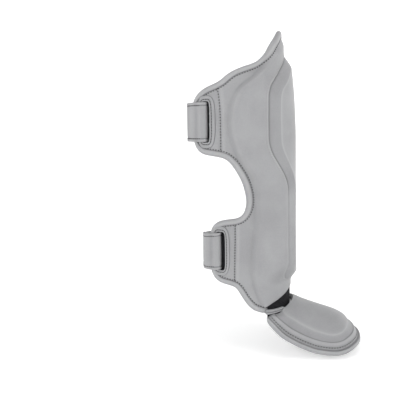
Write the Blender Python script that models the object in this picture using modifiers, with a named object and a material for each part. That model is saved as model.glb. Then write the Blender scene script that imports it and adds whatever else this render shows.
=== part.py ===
"""A Muay Thai shin guard: a padded shell round the shin, two straps, and an arched foot pad.

Metres, +Z up. The shin faces -Y, and the origin lies on the leg's axis. Places on the shell are given by
how far round the leg they lie, 0 at the front and 1 at the back, and by their height.
"""

import functools
import math

import bmesh
import bpy
import numpy as np
from mathutils import Vector

# The leg side of the shell, half widths and depths from the leg's axis.
CALF_HALF_WIDTH = 0.070
CALF_FRONT = 0.060
TIP_FRONT = 0.069
CALF_BACK = 0.0635
ANKLE_HALF_WIDTH = 0.049
ANKLE_FRONT = 0.071
ANKLE_BACK = 0.045
ANKLE_FORWARD = 0.025
CALF_FROM = 0.065
ANKLE_TO = -0.035
FRONT_ROUNDNESS = 2.1
DOME_ROUNDNESS = 3.0
DOME_FROM = 0.175
DOME_TO = 0.215
BACK_ROUNDNESS = 2.6

# Heights of the shell: the dome's tip and shoulders, the low rear corners, and the front of the low edge.
TIP_HEIGHT = 0.244
SHOULDER_HEIGHT = 0.2285
CORNER_HEIGHT = -0.174
FRONT_EDGE_HEIGHT = -0.1535

# Walls of the shell.
WING_WALL = 0.004
RIM_WALL = 0.008
SHELL_DEPTH = 0.092
CALF_FOAM_SIDE = 0.0120
ANKLE_FOAM_SIDE = 0.0100
FOAM_EDGE_RUN = 0.012
FOAM_FRONT_SHARE = 0.32
SIDE_FLARE = 0.005
FLARE_RUN = 0.022
FLARE_HEIGHT = 0.015
FLARE_REACH = 0.062
RIM_RUN = 0.017
LOW_EDGE_ROUND = 0.003
PANEL_RAISE = 0.0105
PANEL_APEX = 0.193
PANEL_ARCH_DEPTH = 0.064
PANEL_LOW_END = -0.138
PANEL_HALF_WIDTH = 0.0540
PANEL_SIDE_RUN = 0.010
PANEL_END_RUN = 0.017
PANEL_ARCH_RUN = 0.021

# Straps, their slots and the rings round the slots.
STRAP_WIDTH = 0.058
STRAP_THICKNESS = 0.0026
UPPER_STRAP_HEIGHT = 0.112
LOWER_STRAP_HEIGHT = -0.0845
LOWER_STRAP_DROP = 0.014
LOWER_STRAP_TAPER = 0.008
STRAP_START = 0.60
STRAP_END = 0.93
UPPER_SLOT_AROUND = 0.622
LOWER_SLOT_AROUND = 0.645
SLOT_WIDTH = 0.009
SLOT_ROOM = 0.0015
PATCH_HALF_WIDTH = 0.016
PATCH_MARGIN = 0.0085
PATCH_HEM_SIDE = 0.0025
PATCH_HEM_END = 0.0015
PATCH_SIDE_POWER = 0.75
PATCH_END_POWER = 0.62
PATCH_THICKNESS = 0.0014
# Where round the leg a strap dives under the near wing, and where its end leaves the layer under it.
STRAP_INSIDE_FROM = 1.29
FOLD_APART_FROM = 1.06
FOLD_APART_TO = 1.22

# Edge strips, webbing and tabs.
BINDING_RADIUS = 0.0032
FOOT_BINDING_RADIUS = 0.0030
WEBBING_THICKNESS = 0.0020
WEBBING_REACH = 0.29
WEBBING_DEPTH = 0.027
WEBBING_SIDE_DROP = 0.003
WEBBING_FOAM_SHARE = 0.03
TAB_WIDTH = 0.0085
TAB_THICKNESS = 0.003
TAB_FROM = 0.205
TAB_TO = 0.300
TAB_SLIMMING = 0.3
TAB_BLUNTING = 0.18
TAB_BLUNT_SHARE = 0.15

# The foot pad.
FOOT_HALF_WIDTH = 0.0565
FOOT_REAR = -0.058
FOOT_TOE = -0.199
FOOT_TOP = -0.167
FOOT_FALL = 0.0675
FOOT_CREST_SHARE = 0.87
FOOT_RAISE = 0.012
FOOT_PADDING = 0.016
FLANGE_WALL = 0.005
FLANGE_DROP = 0.001
FOOT_CREST_INSET = 0.0035
FOOT_JOIN_RAISE = 0.7
FOOT_JOIN_FROM = 0.60
FOOT_JOIN_RUN = 0.22
FOOT_JOIN_TO = 0.45
FOOT_GROOVE_SHARE = 0.55

GAP = 0.0006

# How finely the curves and the faces are laid.
CURVE_STEPS = 16
SHELL_ROWS = 46
LOW_EDGE_ROWS = 3
STRAP_STEPS = 40
FOLD_STEPS = 28
FOOT_STEPS = 52
PATCH_STEPS = 32

# The rows of faces start to bend up to the dome and down to the low edge at these heights.
UPPER_BEND_FROM = 0.150
LOWER_BEND_FROM = -0.100
# Least room for the columns of faces round the leg, in shares of the half turn.
CREST_ROOM = 0.035
PANEL_SIDE_ROOM = 0.02
FOAM_ROOM = 0.03
FOAM_EDGE_ROOM = 0.01
FOAM_SQUEEZE = 0.97


def table(columns, *rows):
    return {name: np.array([row[i] for row in rows]) for i, name in enumerate(columns.split())}


# The shell's edge from the low rear corner to the dome's shoulder: share of the half turn, and share of the
# height from the low corners to the tip.
SHELL_EDGE = table(
    "around height",
    (0.300, 0.000),
    (0.335, 0.005),
    (0.373, 0.015),
    (0.413, 0.034),
    (0.450, 0.058),
    (0.480, 0.078),
    (0.510, 0.093),
    (0.550, 0.101),
    (0.606, 0.106),
    (0.670, 0.113),
    (0.710, 0.129),
    (0.732, 0.160),
    (0.737, 0.205),
    (0.734, 0.250),
    (0.722, 0.282),
    (0.690, 0.301),
    (0.635, 0.312),
    (0.565, 0.317),
    (0.505, 0.322),
    (0.450, 0.335),
    (0.410, 0.360),
    (0.388, 0.388),
    (0.380, 0.420),
    (0.382, 0.456),
    (0.395, 0.494),
    (0.418, 0.524),
    (0.448, 0.551),
    (0.492, 0.570),
    (0.545, 0.578),
    (0.608, 0.583),
    (0.655, 0.588),
    (0.695, 0.602),
    (0.733, 0.638),
    (0.751, 0.690),
    (0.738, 0.735),
    (0.700, 0.763),
    (0.655, 0.780),
    (0.605, 0.793),
    (0.555, 0.803),
    (0.508, 0.817),
    (0.465, 0.837),
    (0.421, 0.851),
    (0.375, 0.861),
    (0.330, 0.870),
    (0.295, 0.882),
    (0.268, 0.900),
    (0.243, 0.921),
    (0.211, 0.945),
    (0.175, 0.963),
)
# The far wing at the ankle is smaller: where its edge lies, by height. The strap is sewn on it.
FAR_EDGE = table(
    "around height",
    (0.730, 0.000),
    (0.720, 0.130),
    (0.718, 0.177),
    (0.708, 0.206),
    (0.688, 0.228),
    (0.652, 0.242),
    (0.606, 0.254),
    (0.556, 0.265),
    (0.510, 0.276),
    (0.470, 0.287),
    (0.432, 0.301),
    (0.405, 0.319),
    (0.390, 0.347),
    (0.384, 0.386),
    (0.800, 0.420),
)
# The dome's top edge and the low edge: share of the way from the front to the corner, and of the rise.
DOME_TOP = table(
    "across rise",
    (0.00, 1.00),
    (0.28, 0.94),
    (0.61, 0.65),
    (0.82, 0.33),
    (1.00, 0.00),
)
LOW_EDGE = table(
    "across rise",
    (0.00, 1.00),
    (0.17, 0.93),
    (0.37, 0.74),
    (0.63, 0.46),
    (0.83, 0.24),
    (1.00, 0.00),
)
# The front of the foam, beside the panel, from the low edge to the tip: share of the depth from the axis.
FRONT_LINE = table(
    "height depth",
    (0.000, 1.000),
    (0.085, 1.000),
    (0.140, 0.980),
    (0.187, 0.973),
    (0.416, 0.968),
    (0.608, 0.967),
    (0.761, 0.942),
    (0.837, 0.914),
    (0.895, 0.885),
    (0.930, 0.875),
    (0.962, 0.872),
    (1.000, 0.868),
)
# Where the foam ends on the wings.
FOAM_EDGE = table(
    "around height",
    (0.310, 0.000),
    (0.345, 0.030),
    (0.413, 0.098),
    (0.437, 0.181),
    (0.428, 0.242),
    (0.391, 0.314),
    (0.366, 0.368),
    (0.357, 0.424),
    (0.372, 0.488),
    (0.415, 0.544),
    (0.465, 0.600),
    (0.486, 0.660),
    (0.477, 0.737),
    (0.446, 0.800),
    (0.395, 0.852),
    (0.380, 1.000),
)
# The panel's crest from its low end to its apex: share of its height, and of its greatest half width.
PANEL_CREST = table(
    "height width",
    (0.000, 0.50),
    (0.060, 0.54),
    (0.180, 0.56),
    (0.310, 0.58),
    (0.420, 0.66),
    (0.520, 0.82),
    (0.600, 0.97),
    (0.680, 1.00),
    (1.000, 1.00),
)
# The arch at the panel's top: share of the panel's half width, and of the arch's depth under the apex.
PANEL_ARCH = table(
    "across drop",
    (0.00, 0.00),
    (0.22, 0.05),
    (0.44, 0.18),
    (0.56, 0.28),
    (0.72, 0.41),
    (0.88, 0.55),
    (0.97, 0.70),
    (1.00, 1.00),
)
# How far out of the leg side a strap's middle lies, round the back from the far wing to the near one, in
# shares of the way, and of the room over the binding.
STRAP_ROUTE = table(
    "around out",
    (0.60, 1.00),
    (0.80, 1.00),
    (0.90, 0.52),
    (1.00, 0.08),
    (1.10, -0.24),
    (1.19, -0.46),
    (1.27, -0.46),
    (1.32, -0.32),
    (1.40, -0.32),
)
# The foot pad's half outline in plan, from the toe's centre back to the rear corner, at the outer edge and
# at the raised part's crest: shares of the half width and of the length from the rear corners to the toe.
FOOT_EDGE = table(
    "across along",
    (0.000, 1.000),
    (0.280, 0.992),
    (0.520, 0.962),
    (0.765, 0.890),
    (0.920, 0.800),
    (0.990, 0.680),
    (1.000, 0.530),
    (1.010, 0.360),
    (1.010, 0.180),
    (0.990, 0.000),
)
FOOT_CREST = table(
    "across along",
    (0.000, 0.876),
    (0.310, 0.866),
    (0.600, 0.835),
    (0.780, 0.785),
    (0.860, 0.710),
    (0.880, 0.540),
    (0.870, 0.390),
    (0.850, 0.262),
    (0.815, 0.190),
)
# Heights along the foot pad as shares of its fall: the middle of the raised top, its sides, and the edge.
FOOT_HEIGHTS = table(
    "along ridge side edge",
    (0.00, 0.00, 0.25, 0.27),
    (0.08, 0.00, 0.26, 0.46),
    (0.17, 0.00, 0.27, 0.64),
    (0.26, 0.02, 0.33, 0.75),
    (0.36, 0.10, 0.43, 0.85),
    (0.54, 0.22, 0.58, 0.97),
    (0.72, 0.34, 0.66, 1.00),
    (0.81, 0.44, 0.67, 0.98),
    (0.88, 0.55, 0.70, 0.94),
    (1.00, 0.62, 0.72, 0.87),
)


def ease(x):
    x = min(max(x, 0.0), 1.0)
    return x * x * (3 - 2 * x)


def slopes(x, y):
    """Slopes at each row that keep the curve between rows free of bumps."""
    step = np.diff(y) / np.diff(x)
    inner = np.where(step[1:] * step[:-1] > 0, 2 * step[1:] * step[:-1] / (step[1:] + step[:-1] + 1e-12), 0)
    return np.concatenate([[step[0]], inner, [step[-1]]])


def read(rows, by, column, at):
    """The column's value where the column named by has the value at, on a smooth curve through the rows."""
    x, y = rows[by], rows[column]
    if x[0] > x[-1]:
        x, y = x[::-1], y[::-1]
    at = min(max(at, x[0]), x[-1])
    i = min(int(np.searchsorted(x, at, side="right")) - 1, len(x) - 2)
    slope = slopes(x, y)
    run = x[i + 1] - x[i]
    t = (at - x[i]) / run
    return float(
        y[i] * (1 + 2 * t) * (1 - t) ** 2
        + slope[i] * run * t * (1 - t) ** 2
        + y[i + 1] * t * t * (3 - 2 * t)
        + slope[i + 1] * run * t * t * (t - 1)
    )


def curve_through(points, closed=False):
    """A function from 0 to 1 along a smooth curve through the points, and the curve's length."""
    points = np.array(points, float)
    if closed:
        points = np.vstack([points[-1:], points, points[:2]])
    else:
        points = np.vstack([2 * points[0] - points[1], points, 2 * points[-1] - points[-2]])
    chord = np.maximum(np.sqrt(np.linalg.norm(np.diff(points, axis=0), axis=1)), 1e-6)
    knots = np.concatenate([[0], np.cumsum(chord)])
    samples = []
    for i in range(1, len(points) - 2):
        for step in range(CURVE_STEPS):
            at = knots[i] + (knots[i + 1] - knots[i]) * step / CURVE_STEPS
            samples.append(spline_point(points, knots, i, at))
    samples.append(points[-2])
    samples = np.array(samples)
    lengths = np.concatenate([[0], np.cumsum(np.linalg.norm(np.diff(samples, axis=0), axis=1))])

    def at_share(share):
        want = share * lengths[-1]
        return np.array([np.interp(want, lengths, samples[:, k]) for k in range(samples.shape[1])])

    return at_share, lengths[-1]


def between(points, knots, i, reach, at):
    span = knots[i + reach] - knots[i]
    return (points[i] * (knots[i + reach] - at) + points[i + 1] * (at - knots[i])) / span


def spline_point(points, knots, i, at):
    """One point of a centripetal Catmull-Rom curve, on the stretch that starts at point i."""
    level = points[i - 1 : i + 3]
    k = knots[i - 1 : i + 3]
    for reach in (1, 2):
        level = [between(level, k, j, reach, at) for j in range(4 - reach)]
    return (level[0] * (k[2] - at) + level[1] * (at - k[1])) / (k[2] - k[1])


@functools.lru_cache(maxsize=4096)
def leg_section(height):
    """Half the leg side at a height: x, y, the outward direction and the distance round, front to back."""
    part = ease((height - ANKLE_TO) / (CALF_FROM - ANKLE_TO))
    half = ANKLE_HALF_WIDTH + (CALF_HALF_WIDTH - ANKLE_HALF_WIDTH) * part
    widest = -ANKLE_FORWARD * (1 - part)
    dome = ease((height - DOME_FROM) / (DOME_TO - DOME_FROM))
    front = widest + ANKLE_FRONT + (CALF_FRONT - ANKLE_FRONT) * part + (TIP_FRONT - CALF_FRONT) * dome
    front_power = 2 / (FRONT_ROUNDNESS + (DOME_ROUNDNESS - FRONT_ROUNDNESS) * dome)
    back = ANKLE_BACK + (CALF_BACK - ANKLE_BACK) * part - widest
    turn = np.linspace(0, math.pi, 361)
    power = np.where(turn < math.pi / 2, front_power, 2 / BACK_ROUNDNESS)
    x = half * np.sin(turn) ** power
    reach = np.abs(np.cos(turn)) ** power
    y = np.where(turn < math.pi / 2, widest - front * reach, widest + back * reach)
    x[-1] = 0
    distance = np.concatenate([[0], np.cumsum(np.hypot(np.diff(x), np.diff(y)))])
    along_x, along_y = np.gradient(x, distance), np.gradient(y, distance)
    along_y[0] = along_y[-1] = 0
    length = np.hypot(along_x, along_y)
    return x, y, along_y / length, -along_x / length, distance


def half_turn(height):
    return leg_section(height)[4][-1]


def flare(around, height):
    """How far the shell's edge stands out round the side openings."""
    edge = edge_around(SHELL_EDGE, height)
    near_edge = ease(1 - (edge - around) * half_turn(height) / FLARE_RUN)
    return SIDE_FLARE * near_edge * ease(1 - abs(height - FLARE_HEIGHT) / FLARE_REACH)


def wall_point(around, height, out=0.0):
    """A point of the leg side moved outward. Around runs from -1 to 1, or on past the back up to 2."""
    side = 1 if around >= 0 else -1
    around = abs(around)
    if around > 1:
        side, around = -side, 2 - around
    if abs(height - FLARE_HEIGHT) < FLARE_REACH:
        out += flare(around, height)
    x, y, out_x, out_y, distance = leg_section(height)
    at = around * distance[-1]
    across, along, ox, oy = (np.interp(at, distance, values) for values in (x, y, out_x, out_y))
    return Vector((side * (across + ox * out), along + oy * out, height))


def shell_height(share):
    return CORNER_HEIGHT + share * (TIP_HEIGHT - CORNER_HEIGHT)


def height_share(height):
    return (height - CORNER_HEIGHT) / (TIP_HEIGHT - CORNER_HEIGHT)


def around_at_width(width, height, out):
    """How far round the leg a surface at this distance out is that wide."""
    x, y, out_x, out_y, distance = leg_section(height)
    ahead = out_x[: len(x) // 2] * out + x[: len(x) // 2]
    return float(np.interp(width, ahead, distance[: len(x) // 2])) / distance[-1]


def foam_wall(around, height):
    """The foam's thickness, before its edges and the panel."""
    part = ease((height - ANKLE_TO) / (CALF_FROM - ANKLE_TO))
    depth = SHELL_DEPTH * read(FRONT_LINE, "height", "depth", height_share(height))
    front = depth + leg_section(height)[1][0]
    side = ANKLE_FOAM_SIDE + (CALF_FOAM_SIDE - ANKLE_FOAM_SIDE) * part
    return side + (front - side) * (1 - ease(around / FOAM_FRONT_SHARE))


@functools.lru_cache(maxsize=4096)
def panel_limits(height):
    """How far round the panel's crest and its foot lie at this height."""
    share = (height - PANEL_LOW_END) / (PANEL_APEX - PANEL_LOW_END)
    width = PANEL_HALF_WIDTH * read(PANEL_CREST, "height", "width", share)
    crest = around_at_width(width, height, foam_wall(0.1, height) + PANEL_RAISE)
    return crest, crest + PANEL_SIDE_RUN / half_turn(height)


def panel_wall(around, height):
    """How far the panel stands above the foam."""
    crest, foot = panel_limits(height)
    side = ease((foot - around) / (foot - crest))
    low_end = ease((height - PANEL_LOW_END) / PANEL_END_RUN)
    arch = PANEL_APEX - PANEL_ARCH_DEPTH * read(PANEL_ARCH, "across", "drop", around / crest)
    return PANEL_RAISE * side * low_end * ease(1 - (height - arch) / PANEL_ARCH_RUN)


def edge_around(rows, height):
    return read(rows, "height", "around", height_share(height))


def top_height(around):
    """The height of the shell's upper rim above a place on it."""
    corner = SHELL_EDGE["around"][-1]
    if around < corner:
        rise = read(DOME_TOP, "across", "rise", around / corner)
        return SHOULDER_HEIGHT + (TIP_HEIGHT - SHOULDER_HEIGHT) * rise
    top = int(np.argmax(SHELL_EDGE["around"]))
    rim = {name: values[top:] for name, values in SHELL_EDGE.items()}
    return shell_height(read(rim, "around", "height", around))


def low_height(around):
    """The height of the shell's low edge under a place on it."""
    share = min(around / SHELL_EDGE["around"][0], 1.0)
    return CORNER_HEIGHT + (FRONT_EDGE_HEIGHT - CORNER_HEIGHT) * read(LOW_EDGE, "across", "rise", share)


def shell_wall(around, height):
    """The shell's whole thickness at a place."""
    around = abs(around)
    to_edge = (edge_around(FOAM_EDGE, height) - around) * half_turn(height)
    foam = ease(to_edge / FOAM_EDGE_RUN)
    rim = ease((top_height(around) - height) / RIM_RUN)
    low_edge = max(0.0, 1 - (height - low_height(around)) / LOW_EDGE_ROUND)
    rounding = LOW_EDGE_ROUND * (1 - math.sqrt(max(0.0, 1 - low_edge**2)))
    thin = WING_WALL + (RIM_WALL - WING_WALL) * foam
    wall = thin + (foam_wall(around, height) - thin + panel_wall(around, height)) * foam * rim
    return wall - rounding * foam


def edge_rows():
    """Places along the shell's side edge, one for each row of faces, from low corner to shoulder."""
    rows = [
        (around * half_turn(shell_height(height)), shell_height(height))
        for around, height in zip(SHELL_EDGE["around"], SHELL_EDGE["height"])
    ]
    curve, length = curve_through(rows)
    shares = [0.0, LOW_EDGE_ROUND * 0.4 / length, LOW_EDGE_ROUND * 1.1 / length]
    shares += [(i + 1) / SHELL_ROWS for i in range(SHELL_ROWS)]
    places = []
    for share in shares:
        distance, height = curve(share)
        places.append((distance / half_turn(height), height))
    return places


def row_columns(edge, height):
    """How far round each column of faces lies on a row, from the front to the edge."""
    crest, foot = panel_limits(height)
    crest = max(crest, CREST_ROOM)
    foot = max(foot, crest + PANEL_SIDE_ROOM)
    foam_end = edge_around(FOAM_EDGE, height)
    foam_top = max(foam_end - FOAM_EDGE_RUN / half_turn(height), foot + FOAM_ROOM)
    foam_end = max(foam_end, foam_top + FOAM_EDGE_ROOM)
    columns = [0.0, crest * 0.5, crest * 0.9, (crest + foot) / 2, foot]
    columns += [foot + (foam_top - foot) * share for share in (1 / 3, 2 / 3, 1)]
    columns += [(foam_top + foam_end) / 2, foam_end]
    squeeze = min(1.0, FOAM_SQUEEZE * edge / foam_end)
    columns = [column * squeeze for column in columns]
    foam_end = columns[-1]
    return columns + [foam_end + (edge - foam_end) * share for share in (0.25, 0.5, 0.75, 1.0)]


def half_row(edge, edge_height):
    """Places from the front to one edge of a row. Rows bend up to the dome and down to the low edge."""
    upper = ease((edge_height - UPPER_BEND_FROM) / (SHOULDER_HEIGHT - UPPER_BEND_FROM))
    lower = ease((LOWER_BEND_FROM - edge_height) / (LOWER_BEND_FROM - CORNER_HEIGHT))
    places = []
    for around in row_columns(edge, edge_height):
        share = around / edge
        lift = upper * (TIP_HEIGHT - SHOULDER_HEIGHT) * read(DOME_TOP, "across", "rise", share)
        lift += lower * (FRONT_EDGE_HEIGHT - CORNER_HEIGHT) * read(LOW_EDGE, "across", "rise", share)
        places.append((around, edge_height + lift))
    return places


@functools.lru_cache(maxsize=1)
def shell_places():
    """Rows of places over the shell, each from the near edge round the front to the far edge."""
    rows = []
    for near_edge, height in edge_rows():
        far_edge = min(near_edge, edge_around(FAR_EDGE, height))
        near, far = half_row(near_edge, height), half_row(far_edge, height)
        rows.append([(-around, at) for around, at in near[:0:-1]] + far)
    return rows


def new_object(name, data, colour, roughness):
    material = bpy.data.materials.new(name)
    material.use_nodes = True
    shader = material.node_tree.nodes["Principled BSDF"]
    shader.inputs["Base Color"].default_value = (*colour, 1)
    shader.inputs["Roughness"].default_value = roughness
    data.materials.append(material)
    made = bpy.data.objects.new(name, data)
    guard.objects.link(made)
    return made


def grid_mesh(name, rows):
    """A sheet of faces through rows of points."""
    sheet = bmesh.new()
    across, along = len(rows[0]), len(rows)
    bmesh.ops.create_grid(sheet, x_segments=across - 1, y_segments=along - 1, size=1)
    for corner in sheet.verts:
        column = round((corner.co.x + 1) / 2 * (across - 1))
        row = round((corner.co.y + 1) / 2 * (along - 1))
        corner.co = rows[row][column]
    mesh = bpy.data.meshes.new(name)
    sheet.to_mesh(mesh)
    sheet.free()
    return mesh


def thicken(made, thickness, offset=0.0):
    solid = made.modifiers.new("wall", "SOLIDIFY")
    solid.thickness = thickness
    solid.offset = offset
    return solid


def leather(name, mesh, roughness=0.55):
    return new_object(name, mesh, (0.38, 0.38, 0.39), roughness)


def make_shell():
    places = shell_places()
    points = [[wall_point(around, height) for around, height in row] for row in places]
    shell = leather("shin_shell", grid_mesh("shin_shell", points))
    walls = [shell_wall(around, height) for row in places for around, height in row]
    thickest = max(walls)
    weights = shell.vertex_groups.new(name="wall")
    for index, wall in enumerate(walls):
        weights.add([index], wall / thickest, "REPLACE")
    solid = thicken(shell, thickest, offset=1.0)
    solid.vertex_group = "wall"
    slots = (UPPER_SLOT_AROUND, UPPER_STRAP_HEIGHT), (LOWER_SLOT_AROUND, LOWER_STRAP_HEIGHT)
    for around, height in slots:
        cut = shell.modifiers.new("slot", "BOOLEAN")
        cut.object = slot_cutter(around, height)
        cut.solver = "EXACT"


def slot_cutter(around, height):
    """A round-ended block through the near wing, as tall as the strap is wide."""
    middle = wall_point(-around, height, WING_WALL / 2)
    outward = wall_point(-around, height, 1.0) - wall_point(-around, height, 0.0)
    block = bmesh.new()
    bmesh.ops.create_cube(block, size=1)
    mesh = bpy.data.meshes.new("slot_cutter")
    block.to_mesh(mesh)
    block.free()
    size = Vector((WING_WALL * 5, SLOT_WIDTH, STRAP_WIDTH + 2 * SLOT_ROOM))
    for corner in mesh.vertices:
        corner.co = [corner.co[k] * size[k] for k in range(3)]
    cutter = bpy.data.objects.new("slot_cutter", mesh)
    cutter.location = middle
    cutter.rotation_euler.z = math.atan2(outward.y, outward.x)
    round_ends = cutter.modifiers.new("ends", "BEVEL")
    round_ends.width = SLOT_WIDTH * 0.4
    round_ends.segments = 3
    round_ends.limit_method = "WEIGHT"
    weights = mesh.attributes.new("bevel_weight_edge", "FLOAT", "EDGE")
    for edge in mesh.edges:
        ends = [mesh.vertices[index].co for index in edge.vertices]
        weights.data[edge.index].value = float(abs(ends[0].x - ends[1].x) > WING_WALL)
    cutter.hide_render = True
    cutter.display_type = "WIRE"
    cutters.objects.link(cutter)
    return cutter


def tube(name, points, radius, closed=False, resolution=2):
    curve = bpy.data.curves.new(name, "CURVE")
    curve.dimensions = "3D"
    curve.bevel_depth = radius
    curve.bevel_resolution = resolution
    curve.use_fill_caps = not closed
    spline = curve.splines.new("POLY")
    spline.points.add(len(points) - 1)
    for at, point in zip(spline.points, points):
        at.co = (*point, 1)
    spline.use_cyclic_u = closed
    return leather(name, curve, 0.5)


def rim_places():
    """Places along the shell's rim from the near low corner over the dome to the far one."""
    rows = shell_places()
    sides = rows[:1] + rows[LOW_EDGE_ROWS:]
    near = [row[0] for row in sides]
    far = [row[-1] for row in sides]
    return near + rows[-1][1:-1] + far[::-1]


def make_edge_binding():
    """The strip lies outside the rim, each stretch of it along one stretch of the rim."""
    rim = [np.array([around * half_turn(height), height]) for around, height in rim_places()]
    steps = [(after - here) / np.linalg.norm(after - here) for here, after in zip(rim, rim[1:])]
    points = []
    for i, here in enumerate(rim):
        before, after = steps[max(i - 1, 0)], steps[min(i, len(steps) - 1)]
        along = (before + after) / np.linalg.norm(before + after)
        out = (BINDING_RADIUS + GAP) / along.dot(after)
        distance, height = here + out * np.array([-along[1], along[0]])
        wall = shell_wall(here[0] / half_turn(here[1]), here[1])
        points.append(wall_point(distance / half_turn(height), height, wall / 2))
    tube("edge_binding", points, BINDING_RADIUS)


def strap_plan(slot_around, height):
    """The strap's middle line from above: round the back, out through the slot, back over itself."""
    over_binding = WING_WALL / 2 + BINDING_RADIUS + GAP + STRAP_THICKNESS / 2
    turn = half_turn(height)
    outer = WING_WALL + PATCH_THICKNESS + 2 * GAP + STRAP_THICKNESS / 2
    inner = -(2 * GAP + STRAP_THICKNESS / 2)
    bend = (outer - inner) / 2
    slot_rear = 2 - (slot_around + SLOT_WIDTH / 2 / turn)
    bend_at = slot_rear - GAP / turn
    points = []
    for around in np.linspace(STRAP_START, bend_at, STRAP_STEPS):
        out = over_binding * read(STRAP_ROUTE, "around", "out", around)
        if around > STRAP_INSIDE_FROM:
            out = min(out, inner)
        points.append((around, out))
    for step in range(1, 12):
        angle = math.pi * step / 12
        points.append((bend_at + bend * math.sin(angle) / turn, inner + bend * (1 - math.cos(angle))))
    over_first = STRAP_THICKNESS + GAP
    for around in np.linspace(bend_at, STRAP_END, FOLD_STEPS):
        first = over_binding * read(STRAP_ROUTE, "around", "out", around)
        apart = ease((around - FOLD_APART_FROM) / (FOLD_APART_TO - FOLD_APART_FROM))
        points.append((around, (first + over_first) * (1 - apart) + outer * apart))
    return [(around, wall_point(around, height, out)) for around, out in points]


def make_strap(name, slot_around, height, drop=0.0, taper=0.0):
    """A ribbon on the plan line. Where it is sewn to the far wing it lies lower by the drop, and it is
    narrower by the taper.
    """
    line = strap_plan(slot_around, height)
    half = STRAP_WIDTH / 2
    low, high = [], []
    slot = 2 - slot_around
    for around, point in line:
        far = max(0.0, (slot - around) / (slot - STRAP_START))
        low.append((point.x, point.y, height - half - drop * far))
        high.append((point.x, point.y, height + half - (drop + taper) * far))
    strap = leather(name, grid_mesh(name, [low, high]), 0.5)
    solid = thicken(strap, STRAP_THICKNESS)
    solid.use_even_offset = True


def make_slot_patch(name, around, height):
    """A ring on the wing round the slot, made of oval loops laid on the wing."""
    turn = half_turn(height)
    out = WING_WALL + GAP + PATCH_THICKNESS / 2
    inner_half = SLOT_WIDTH / 2 + PATCH_HEM_SIDE
    inner_height = STRAP_WIDTH / 2 + SLOT_ROOM + PATCH_HEM_END
    loops = []
    for share in (0.0, 0.5, 1.0):
        half = inner_half + (PATCH_HALF_WIDTH - inner_half) * share
        tall = inner_height + (PATCH_MARGIN - PATCH_HEM_END) * share
        loop = []
        for step in range(PATCH_STEPS + 1):
            angle = 2 * math.pi * step / PATCH_STEPS
            across = half * math.copysign(abs(math.cos(angle)) ** PATCH_SIDE_POWER, math.cos(angle))
            up = tall * math.copysign(abs(math.sin(angle)) ** PATCH_END_POWER, math.sin(angle))
            loop.append(wall_point(-(around + across / turn), height, out) + Vector((0, 0, up)))
        loops.append(loop)
    patch = leather(name, grid_mesh(name, loops), 0.5)
    weld = patch.modifiers.new("close", "WELD")
    weld.merge_threshold = 0.00001
    thicken(patch, PATCH_THICKNESS)


def webbing_out(around):
    """How far out the webbing's middle lies: flush with the face of the pad above it."""
    height = FRONT_EDGE_HEIGHT + 2 * LOW_EDGE_ROUND
    foam_end = edge_around(FOAM_EDGE, CORNER_HEIGHT) + WEBBING_FOAM_SHARE
    foam = ease((foam_end - abs(around)) * half_turn(height) / (2 * FOAM_EDGE_RUN))
    full = foam_wall(abs(around), height)
    return WING_WALL + (full - WING_WALL) * foam - WEBBING_THICKNESS / 2 - GAP


def make_ankle_webbing():
    rows = []
    for share in np.linspace(0, 1, 5):
        row = []
        for around in np.linspace(-WEBBING_REACH, WEBBING_REACH, 31):
            top = low_height(abs(around)) - GAP
            drop = WEBBING_DEPTH + WEBBING_SIDE_DROP * ease(abs(around) / WEBBING_REACH)
            bottom = FRONT_EDGE_HEIGHT - drop
            height = bottom + (top - bottom) * share
            row.append(wall_point(around, height, webbing_out(around)))
        rows.append(row)
    webbing = new_object("ankle_webbing", grid_mesh("ankle_webbing", rows), (0.02, 0.02, 0.022), 0.8)
    thicken(webbing, WEBBING_THICKNESS)


def make_ankle_tab(name, side):
    rows = []
    for share in (0.0, 0.15, 0.5, 0.85, 1.0):
        row = []
        for along in np.linspace(0, 1, 13):
            around = TAB_FROM + (TAB_TO - TAB_FROM) * along
            blunt = TAB_WIDTH * TAB_BLUNTING * ease(1 - along / TAB_BLUNT_SHARE)
            top = CORNER_HEIGHT - GAP - TAB_THICKNESS / 4 - blunt
            bottom = CORNER_HEIGHT - TAB_WIDTH * (1 - TAB_SLIMMING * (1 - along)) + blunt
            height = bottom + (top - bottom) * share
            out = webbing_out(around) + WEBBING_THICKNESS / 2 + GAP + TAB_THICKNESS / 2
            row.append(wall_point(side * around, height, out))
        rows.append(row[::side])
    tab = leather(name, grid_mesh(name, rows), 0.5)
    thicken(tab, TAB_THICKNESS)


def foot_point(across, along):
    return across * FOOT_HALF_WIDTH, FOOT_REAR + along * (FOOT_TOE - FOOT_REAR)


def foot_height(column, y):
    along = (y - FOOT_REAR) / (FOOT_TOE - FOOT_REAR)
    return FOOT_TOP - FOOT_FALL * read(FOOT_HEIGHTS, "along", column, along)


def foot_top(x, y):
    """The height of the raised top, arched across the foot."""
    ridge, side = foot_height("ridge", y), foot_height("side", y)
    return ridge - (ridge - side) * (abs(x) / (FOOT_HALF_WIDTH * FOOT_CREST_SHARE)) ** 2


def foot_edge_height(x, y):
    """The height of the outer edge, which rises to the top where the webbing joins it."""
    along = (y - FOOT_REAR) / (FOOT_TOE - FOOT_REAR)
    side = 1.0
    if along < FOOT_JOIN_TO:
        side = ease((abs(x) / FOOT_HALF_WIDTH - FOOT_JOIN_FROM) / FOOT_JOIN_RUN)
    joined = foot_top(x, y) - FOOT_RAISE * FOOT_JOIN_RAISE
    return joined + (foot_height("edge", y) - joined) * side


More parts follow.
